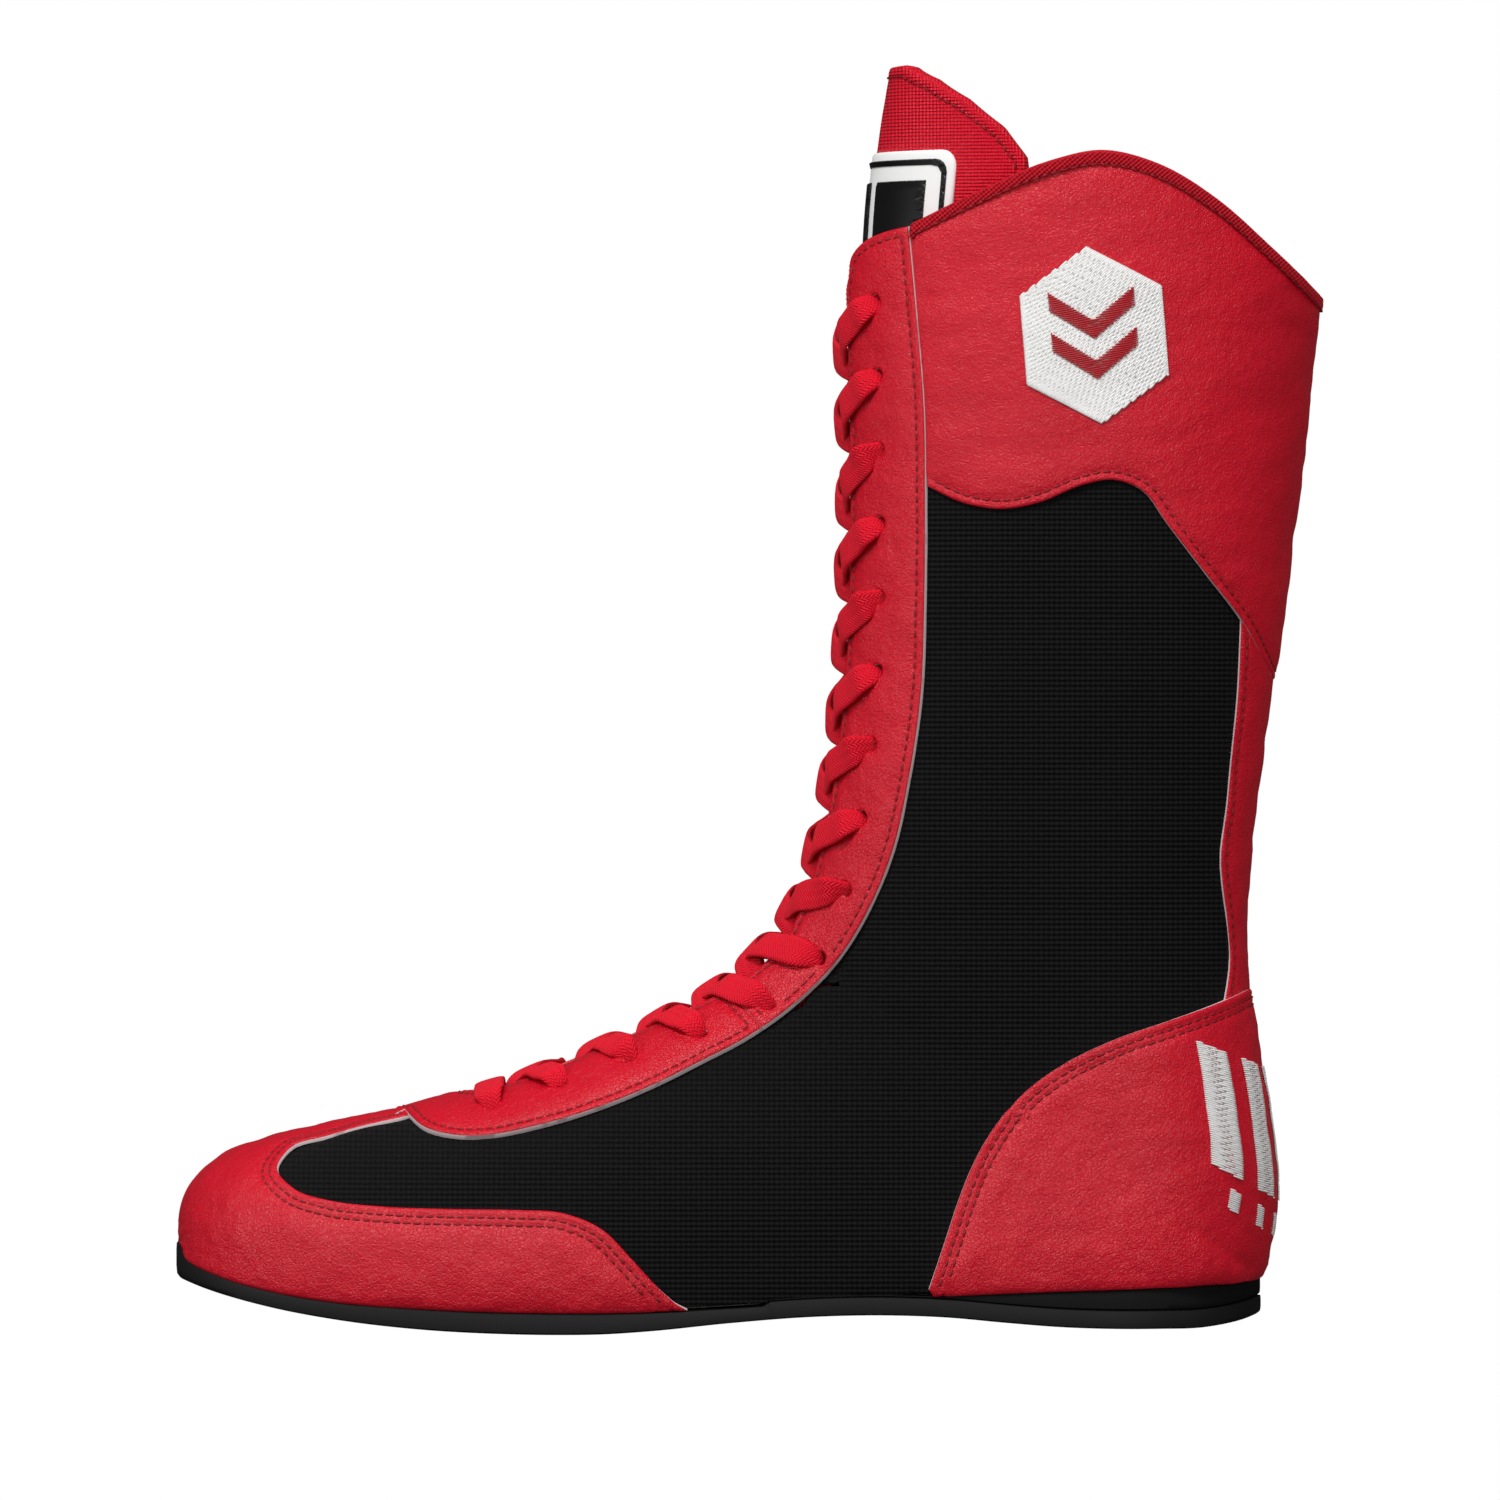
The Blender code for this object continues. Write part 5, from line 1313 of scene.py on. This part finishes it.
def build_hem():
    """The tape round the tongue's edge and its row of stitches."""
    line = counterclockwise(smooth_loop(tongue_outline(HEM / 2), 1.2 * FINE))
    middle, reach = (SATIN[1] + BACK[0]) / 2, (SATIN[1] - BACK[0]) / 2 + 0.35
    rings = []
    for a in np.arange(16) / 16 * math.tau:
        c, t = math.cos(a), math.sin(a)
        across = HEM / 2 * math.copysign(abs(c) ** 0.6, c)
        rise = reach * math.copysign(abs(t) ** 0.5, t)
        rings.append(lifted(inset_line(line, across), middle + rise))
    rings = np.stack(rings, axis=1)
    faces = [face[::-1] for face in tube_faces(*rings.shape[:2], closed=True)]
    hem = add_mesh("tongue_hem_tape", rings.reshape(-1, 3), faces, [MATERIALS["satin"]])
    bending(hem, "tongue_binding_weave", "tongue_binding")
    row = inset_line(line, HEM * 0.36)
    row = np.vstack([row, row[:1]])
    sewn = stitches("tongue_hem_stitches", [row], SATIN[1] + 0.35, pitch=2.8, radius=0.26)
    bending(sewn, "tongue_binding_weave")


def band(arc_from, arc_to, k_from, k_to):
    """A straight-sided piece of the patch between two distances from the centre line, medial below 0."""
    edges = []
    for arc, start, end in ((arc_from, k_from, k_to), (arc_to, k_to, k_from)):
        edges.append(arc_line(start, end, abs(arc), 8) * (1, math.copysign(1, arc)))
    return joined(*edges)


def rounded_band(half, low, high, radius):
    """A piece of the patch with rounded corners, centred on the front line."""
    corner = np.linspace(0, math.pi / 2, 7)
    side = arc_line(low + radius, high - radius, half, 12)
    upper = [(high - radius + radius * math.sin(a), s_of_arc(high, half - radius + radius * math.cos(a)))
             for a in corner]
    lower = [(low + radius - radius * math.sin(a), s_of_arc(low, half - radius + radius * math.cos(a)))
             for a in corner[::-1]]
    edge = joined(lower, side, upper)
    return joined(edge, mirrored(edge))


def build_patch():
    """The rubber patch on the tongue, with a raised frame and plain bars."""
    low, high = locate(-30, PATCH_LOW)[0], locate(-30, PATCH_HIGH)[0]
    base = Panel(rounded_band(PATCH_HALF, low, high, PATCH_CORNER), low=SATIN[1] - 0.1,
                 high=SATIN[1] + PATCH_THICK, spacing=2.2, edge=1.0, step=1.4)
    bending(base.build("tongue_patch_rubber", "white"), "patch_rubber", "tongue_patch")
    top = SATIN[1] + PATCH_THICK - 0.1
    outer, inner = (rounded_band(PATCH_HALF - inset, low + inset, high - inset, PATCH_CORNER - less)
                    for inset, less in zip(FRAME, (1.0, 2.0)))
    shapes = [(outer, [even_line(inner, 2.2, closed=True)])]
    for arc, width in BARS:
        shapes.append((band(arc, arc + width, low + 9.0, high - 8.0), []))
    for number, (outline, gaps) in enumerate(shapes):
        ink = Panel(outline, gaps, low=top - 0.4, high=top + 0.75, spacing=3.0, edge=0.3, step=1.4)
        obj = ink.build(f"tongue_patch_print_{number}", "ink")
        bending(obj, "patch_ink", *(["tongue_patch_inlay"] if number == 0 else []))


# The embroidered marks

def hatch(name, regions, panel, proud, material, pitch=0.55, slant=0.5, spread=5.0, radius=0.3):
    """Satin stitch: threads laid side by side across each region, a list of loops of places."""
    starts, ends, normals = [], [], []
    for region in regions:
        centre = region.mean(axis=0)
        per_k, per_s = scale_at(*centre)
        flat = (region - centre) * (per_k, per_s)
        turn = np.array([[math.cos(slant), math.sin(slant)], [-math.sin(slant), math.cos(slant)]])
        turned = flat @ turn.T
        for row, y in enumerate(np.arange(turned[:, 1].min() + pitch / 2, turned[:, 1].max(), pitch)):
            cuts = []
            a, b = turned, np.roll(turned, -1, axis=0)
            for (ax, ay), (bx, by) in zip(a, b):
                if (ay > y) != (by > y):
                    cuts.append(ax + (y - ay) * (bx - ax) / (by - ay))
            cuts.sort()
            for x0, x1 in zip(cuts[::2], cuts[1::2]):
                parts = max(1, int(round((x1 - x0) / spread)))
                wobble = 0.8 * spread * ((row * 0.618) % 1 - 0.5) if parts > 1 else 0.0
                xs = np.linspace(x0, x1, parts + 1)
                xs[1:-1] += wobble
                for u, v in zip(xs[:-1], xs[1:]):
                    pair = np.array([(u, y), (v, y)]) @ turn
                    p = pair / (per_k, per_s) + centre
                    starts.append(p[0])
                    ends.append(p[1])
    starts, ends = np.array(starts), np.array(ends)
    over = panel.height_over(np.concatenate([starts, ends])) + proud
    a, b = lifted(starts, over[:len(starts)]), lifted(ends, over[len(starts):])
    return capsules(name, a, b, last_normal(*starts.T), radius * MM, MATERIALS[material],
                    droop=0.1, sides=5)


def side_region(points, side):
    """A region given in the side view, as places on one side."""
    return np.array([locate(*p) for p in points]) * (1, side)


def turned(points, angle, centre):
    c, s = math.cos(angle), math.sin(angle)
    return [(centre[0] + x * c - y * s, centre[1] + x * s + y * c) for x, y in points]


BADGE_AT = (3.0, 260.0)
BADGE_LEAN = 0.08
BADGE_RADIUS = 21.0


def build_badges():
    """A hexagon of white satin stitch with two red chevrons on each side of the collar."""
    corners = [math.radians(60 * i + 30) for i in range(6)]
    hexagon = [(BADGE_RADIUS * math.cos(a), BADGE_RADIUS * math.sin(a) * 1.1) for a in corners]
    chevrons = [[(-11, y), (0, y - 8), (11, y), (11, y + 5), (0, y - 3), (-11, y + 5)] for y in (7.0, -3.5)]
    for side, word in ((1, "lateral"), (-1, "medial")):
        ground = side_region(turned(hexagon, BADGE_LEAN, BADGE_AT), side)
        white = hatch(f"badge_{word}_satin_stitch", [ground], COLLAR, 0.45, "embroidery", slant=0.75 * side,
                      pitch=0.5, radius=0.38, spread=2.8)
        place(white, "upper", "badge_embroidery", f"badge_{word}")
        marks = [side_region(turned(shape, BADGE_LEAN, BADGE_AT), side) for shape in chevrons]
        red = hatch(f"badge_{word}_chevrons", marks, COLLAR, 0.95, "embroidery_red", slant=1.4 * side,
                    spread=6.0)
        place(red, "upper", "badge_embroidery")


def k_at_height(z, s):
    """The k on the heel at which the surface reaches this height."""
    ks = np.linspace(K_HEEL + 1, 400, 600)
    return float(np.interp(z, last_point(ks, np.full(600, s))[:, 2], ks))


BLOCK_LEAN = 0.006
BLOCK_WIDE = 0.066
DASH_WIDE = 0.025
DASH_TALL = 3.5


def build_heel_badge():
    """Five slanted blocks of satin stitch round the heel, over a row of six dashes."""
    blocks = []
    k_low, k_high = k_at_height(36.0, 0.9), k_at_height(70.0, 0.9)
    for i in range(5):
        s = 0.755 + 0.105 * i
        end = s + BLOCK_WIDE
        blocks.append(np.array([(k_low, s + BLOCK_LEAN), (k_high, s - BLOCK_LEAN), (k_high, end - BLOCK_LEAN),
                                (k_low, end + BLOCK_LEAN)]))
    marks = hatch("heel_badge_blocks", blocks, HEEL, 0.35, "embroidery", slant=1.45, spread=5.0)
    place(marks, "upper", "badge_embroidery", "heel_badge")
    dashes = []
    k = k_at_height(27.0, 0.9)
    for i in range(6):
        s = 0.80 + 0.07 * i
        dashes.append(np.array([(k, s), (k + DASH_TALL, s), (k + DASH_TALL, s + DASH_WIDE),
                                (k, s + DASH_WIDE)]))
    small = hatch("heel_badge_dashes", dashes, HEEL, 0.2, "embroidery", pitch=0.5, slant=1.45, radius=0.26)
    place(small, "upper", "badge_embroidery")


build_tongue()
build_patch()
build_badges()
build_heel_badge()


# The sole, the boards and the insole

WELT = 1.6  # how far the sole stands out past the last
MIDSOLE_START_X = -82.0
OUTSOLE_THICK = 4.8
# The bottom's x and z, with a little spring at both ends and an arch
SOLE_BOTTOM = ((-240, 15.5), (-228, 11.2), (-213, 7.2), (-193, 3.6), (-172, 1.3), (-150, 0.2),
               (-138, 0.0), (-124, 0.2), (-112, 1.0), (-92, 3.0), (-70, 4.6), (-50, 4.9), (-35, 4.3),
               (-20, 2.9), (-5, 1.7), (20, 1.2), (32, 1.5), (42, 3.2), (50, 5.6))


def sole_ring(outset, count=360):
    """The plan view of the sole edge, moved outwards, as an evenly spaced loop."""
    ks = np.linspace(0, K_HEEL, 700)
    edge = np.concatenate([last_point(ks, 1.0), last_point(ks[::-1], -1.0)])[:, :2]
    length = lengths(edge)
    ring = at_lengths(np.linspace(0, length[-1], count, endpoint=False), length, edge)
    for _ in range(4):
        ring = (np.roll(ring, 1, axis=0) + 2 * ring + np.roll(ring, -1, axis=0)) / 4
    along = np.roll(ring, -2, axis=0) - np.roll(ring, 2, axis=0)
    outward = unit(np.column_stack([-along[:, 1], along[:, 0]]))
    return ring + outward * (-outset if signed_area(ring) > 0 else outset)


def edge_height(x):
    """The last's bottom edge."""
    table = SECTION_TABLE[:HEEL_SECTION + 1]
    return smooth_value(table[:, 2], table[:, 3], np.clip(x, table[0, 2], table[-1, 2]))


def ground_height(x):
    """The outsole's bottom."""
    xs, zs = np.array(SOLE_BOTTOM, float).T
    return smooth_value(xs, zs, np.clip(x, xs[0], xs[-1]))


def layer(name, low, high, material, wall, keep_from=None, spacing=4.0):
    """A layer of the sole: wall is a list of (outset, share of the height) from bottom to top."""
    loops = []
    for outset, share in wall:
        ring = sole_ring(outset)
        if keep_from is not None:
            ring[:, 0] = np.maximum(ring[:, 0], keep_from + 0.35 * (WELT - outset))
        loops.append(np.column_stack([ring, low(ring[:, 0]) * (1 - share) + high(ring[:, 0]) * share]))
    count, n = len(loops), len(loops[0])
    inner = loops[0][:, :2]
    xs = np.arange(inner[:, 0].min() + spacing / 2, inner[:, 0].max(), spacing)
    ys = np.arange(inner[:, 1].min() + spacing / 2, inner[:, 1].max(), spacing)
    grid = np.array([(x, y) for x in xs for y in ys])
    grid = grid[inside_loop(grid, inner)]
    near = np.min(np.linalg.norm(grid[:, None] - inner[None, ::2], axis=2), axis=1)
    grid = grid[near > spacing * 0.6]
    plan = np.concatenate([inner, grid])
    out = delaunay_2d_cdt([Vector(p) for p in plan], [(i, (i + 1) % n) for i in range(n)], [], 1, 1e-6)
    source = [old[0] if old else -1 for old in out[3]]
    flat = np.array([[source[i] for i in f] for f in out[2]])
    flat = flat[(flat >= 0).all(axis=1)]
    bottom = np.concatenate([loops[0], np.column_stack([grid, low(grid[:, 0])])])
    top = np.concatenate([loops[-1], np.column_stack([grid, high(grid[:, 0])])])
    points = np.concatenate([bottom] + loops[1:-1] + [top])
    starts = [0] + [len(bottom) + i * n for i in range(count - 2)] + [len(bottom) + (count - 2) * n]
    up = flat if signed_area(plan[flat[0]]) > 0 else flat[:, ::-1]
    faces = [tuple(f) for f in up[:, ::-1]] + [tuple(f + starts[-1]) for f in up]
    ahead = signed_area(inner) > 0
    for a, b in zip(starts[:-1], starts[1:]):
        for i in range(n):
            j = (i + 1) % n
            faces.append((a + i, a + j, b + j, b + i) if ahead else (a + j, a + i, b + i, b + j))
    obj = add_mesh(name, points * MM + ORIGIN, faces, [MATERIALS[material]])
    obj.data.set_sharp_from_angle(angle=math.radians(48))
    return obj


def outsole_top(x):
    return np.where(x < MIDSOLE_START_X, edge_height(x) - 0.2, ground_height(x) + OUTSOLE_THICK)


def midsole_bottom(x):
    return ground_height(x) + OUTSOLE_THICK + 0.15


def midsole_top(x):
    return np.maximum(edge_height(x) - 0.1, ground_height(x) + OUTSOLE_THICK + 0.5)


def over_edge(rise):
    """A surface this far above the last's bottom edge."""
    def height(x):
        return edge_height(x) + rise
    return height


def build_sole():
    """The outsole, the wedge over it, the insole board and the loose sockliner."""
    wall = [(WELT - 1.0, 0.0), (WELT - 0.2, 0.08), (WELT, 0.3), (WELT, 0.75), (WELT - 0.1, 0.94),
            (WELT - 0.7, 1.0)]
    outsole = layer("outsole_rubber", ground_height, outsole_top, "rubber", wall)
    place(outsole, "upper", "sole_rubber", "outsole")
    wall = [(WELT - 0.7, 0.0), (WELT - 0.25, 0.06), (WELT - 0.15, 0.3), (WELT - 0.15, 0.8),
            (WELT - 0.4, 0.96), (WELT - 1.0, 1.0)]
    midsole = layer("midsole_foam", midsole_bottom, midsole_top, "foam", wall, keep_from=MIDSOLE_START_X)
    place(midsole, "upper", "midsole_foam", "midsole")
    wall = [(-4.6, 0.0), (-4.5, 0.5), (-4.6, 1.0)]
    board = layer("insole_board_fibre", over_edge(0.3), over_edge(1.5), "stiff", wall)
    place(board, "upper", "board_fibre", "insole_board")
    wall = [(-5.0, 0.0), (-4.7, 0.3), (-4.8, 0.8), (-5.6, 1.0)]
    sock = layer("sockliner_foam", over_edge(2.0), over_edge(5.9), "insole", wall)
    place(sock, "sockliner", "sockliner_cloth", "sockliner")


def build_stiffeners():
    """The hidden stiffeners keep their own shapes, with a better material."""
    for name in ("heel_counter", "toe_puff"):
        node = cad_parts[name]
        node.data.materials.clear()
        node.data.materials.append(MATERIALS["stiff"])


build_sole()
build_stiffeners()


# The camera, the white studio and the lamps

CENTRE_X = -0.0865
CENTRE_Z = 0.1520
DISTANCE = 5.5
SENSOR = 36.0
PICTURE = 0.393  # metres across the picture at the boot

camera = bpy.data.objects.new("camera", bpy.data.cameras.new("camera"))
bpy.context.scene.collection.objects.link(camera)
camera.location = (CENTRE_X, -DISTANCE, CENTRE_Z)
camera.rotation_euler = (math.pi / 2, 0, 0)
camera.data.lens = SENSOR * DISTANCE / PICTURE
bpy.context.scene.camera = camera


IN_REFLECTIONS = 0.12  # share of the floor's and world's light that reflections show
FLOOR_LIGHT = 0.20
WORLD_LIGHT = 0.36


def white_to_the_camera(tree, colour_node, seen, lit):
    """Light of one strength on the boot, hardly any in its reflections, and another seen by the camera."""
    path = tree.nodes.new("ShaderNodeLightPath")
    dull = tree.nodes.new("ShaderNodeMix")
    dull.inputs[2].default_value = lit
    dull.inputs[3].default_value = lit * IN_REFLECTIONS
    tree.links.new(path.outputs["Is Glossy Ray"], dull.inputs[0])
    mix = tree.nodes.new("ShaderNodeMix")
    tree.links.new(dull.outputs[0], mix.inputs[2])
    mix.inputs[3].default_value = seen
    tree.links.new(path.outputs["Is Camera Ray"], mix.inputs[0])
    tree.links.new(mix.outputs[0], colour_node.inputs["Strength"])


def lamp(name, place, target, size, power, reflected=False):
    light = bpy.data.lights.new(name, "AREA")
    light.shape = "RECTANGLE"
    light.size, light.size_y = size
    light.energy = power
    obj = bpy.data.objects.new(name, light)
    bpy.context.scene.collection.objects.link(obj)
    obj.location = place
    obj.visible_glossy = reflected
    obj.visible_camera = False
    obj.rotation_euler = (Vector(target) - Vector(place)).to_track_quat("-Z", "Y").to_euler()
    return obj


def build_floor():
    size = 8.0
    m = bpy.data.materials.new("floor_white")
    m.use_nodes = True
    nodes = m.node_tree.nodes
    nodes.remove(nodes["Principled BSDF"])
    glow = nodes.new("ShaderNodeEmission")
    m.node_tree.links.new(glow.outputs[0], nodes["Material Output"].inputs["Surface"])
    white_to_the_camera(m.node_tree, glow, 1.0, FLOOR_LIGHT)
    floor = add_mesh("floor", [(-size, -size, 0), (size, -size, 0), (size, size, 0), (-size, size, 0)],
                     [(0, 1, 2, 3)], [m], smooth=False)
    floor.location.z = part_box("outsole")[0].z - 0.0004


def build_world():
    world = bpy.data.worlds.new("studio")
    world.use_nodes = True
    background = world.node_tree.nodes["Background"]
    background.inputs["Color"].default_value = (1, 1, 1, 1)
    white_to_the_camera(world.node_tree, background, 1.0, WORLD_LIGHT)
    bpy.context.scene.world = world
    bpy.context.scene.view_settings.view_transform = "Standard"


build_floor()
build_world()
AIM = (-0.08, 0.0, 0.12)
lamp("key", (-0.50, -1.10, 1.50), AIM, (0.8, 0.5), 19.0, reflected=True)
lamp("side", (0.9, -1.2, 0.55), AIM, (0.5, 1.0), 5.0)
# highlights only, on the heel and the toe
for spot, target in (((-0.03, -0.55, 0.10), (0.0, 0.0, 0.05)), ((-0.65, -0.30, 0.20), (-0.217, 0.0, 0.03))):
    shine = lamp("shine", spot, target, (0.25, 0.12), 0.5, reflected=True)
    shine.visible_diffuse = False
lamp("left", (-1.40, -0.90, 0.50), AIM, (0.6, 0.8), 4.5)
lamp("top", (0.1, 0.3, 1.4), AIM, (0.8, 0.8), 4.5)


def rows(low, high):
    return [[float(v) for v in corner] for corner in (low, high)]
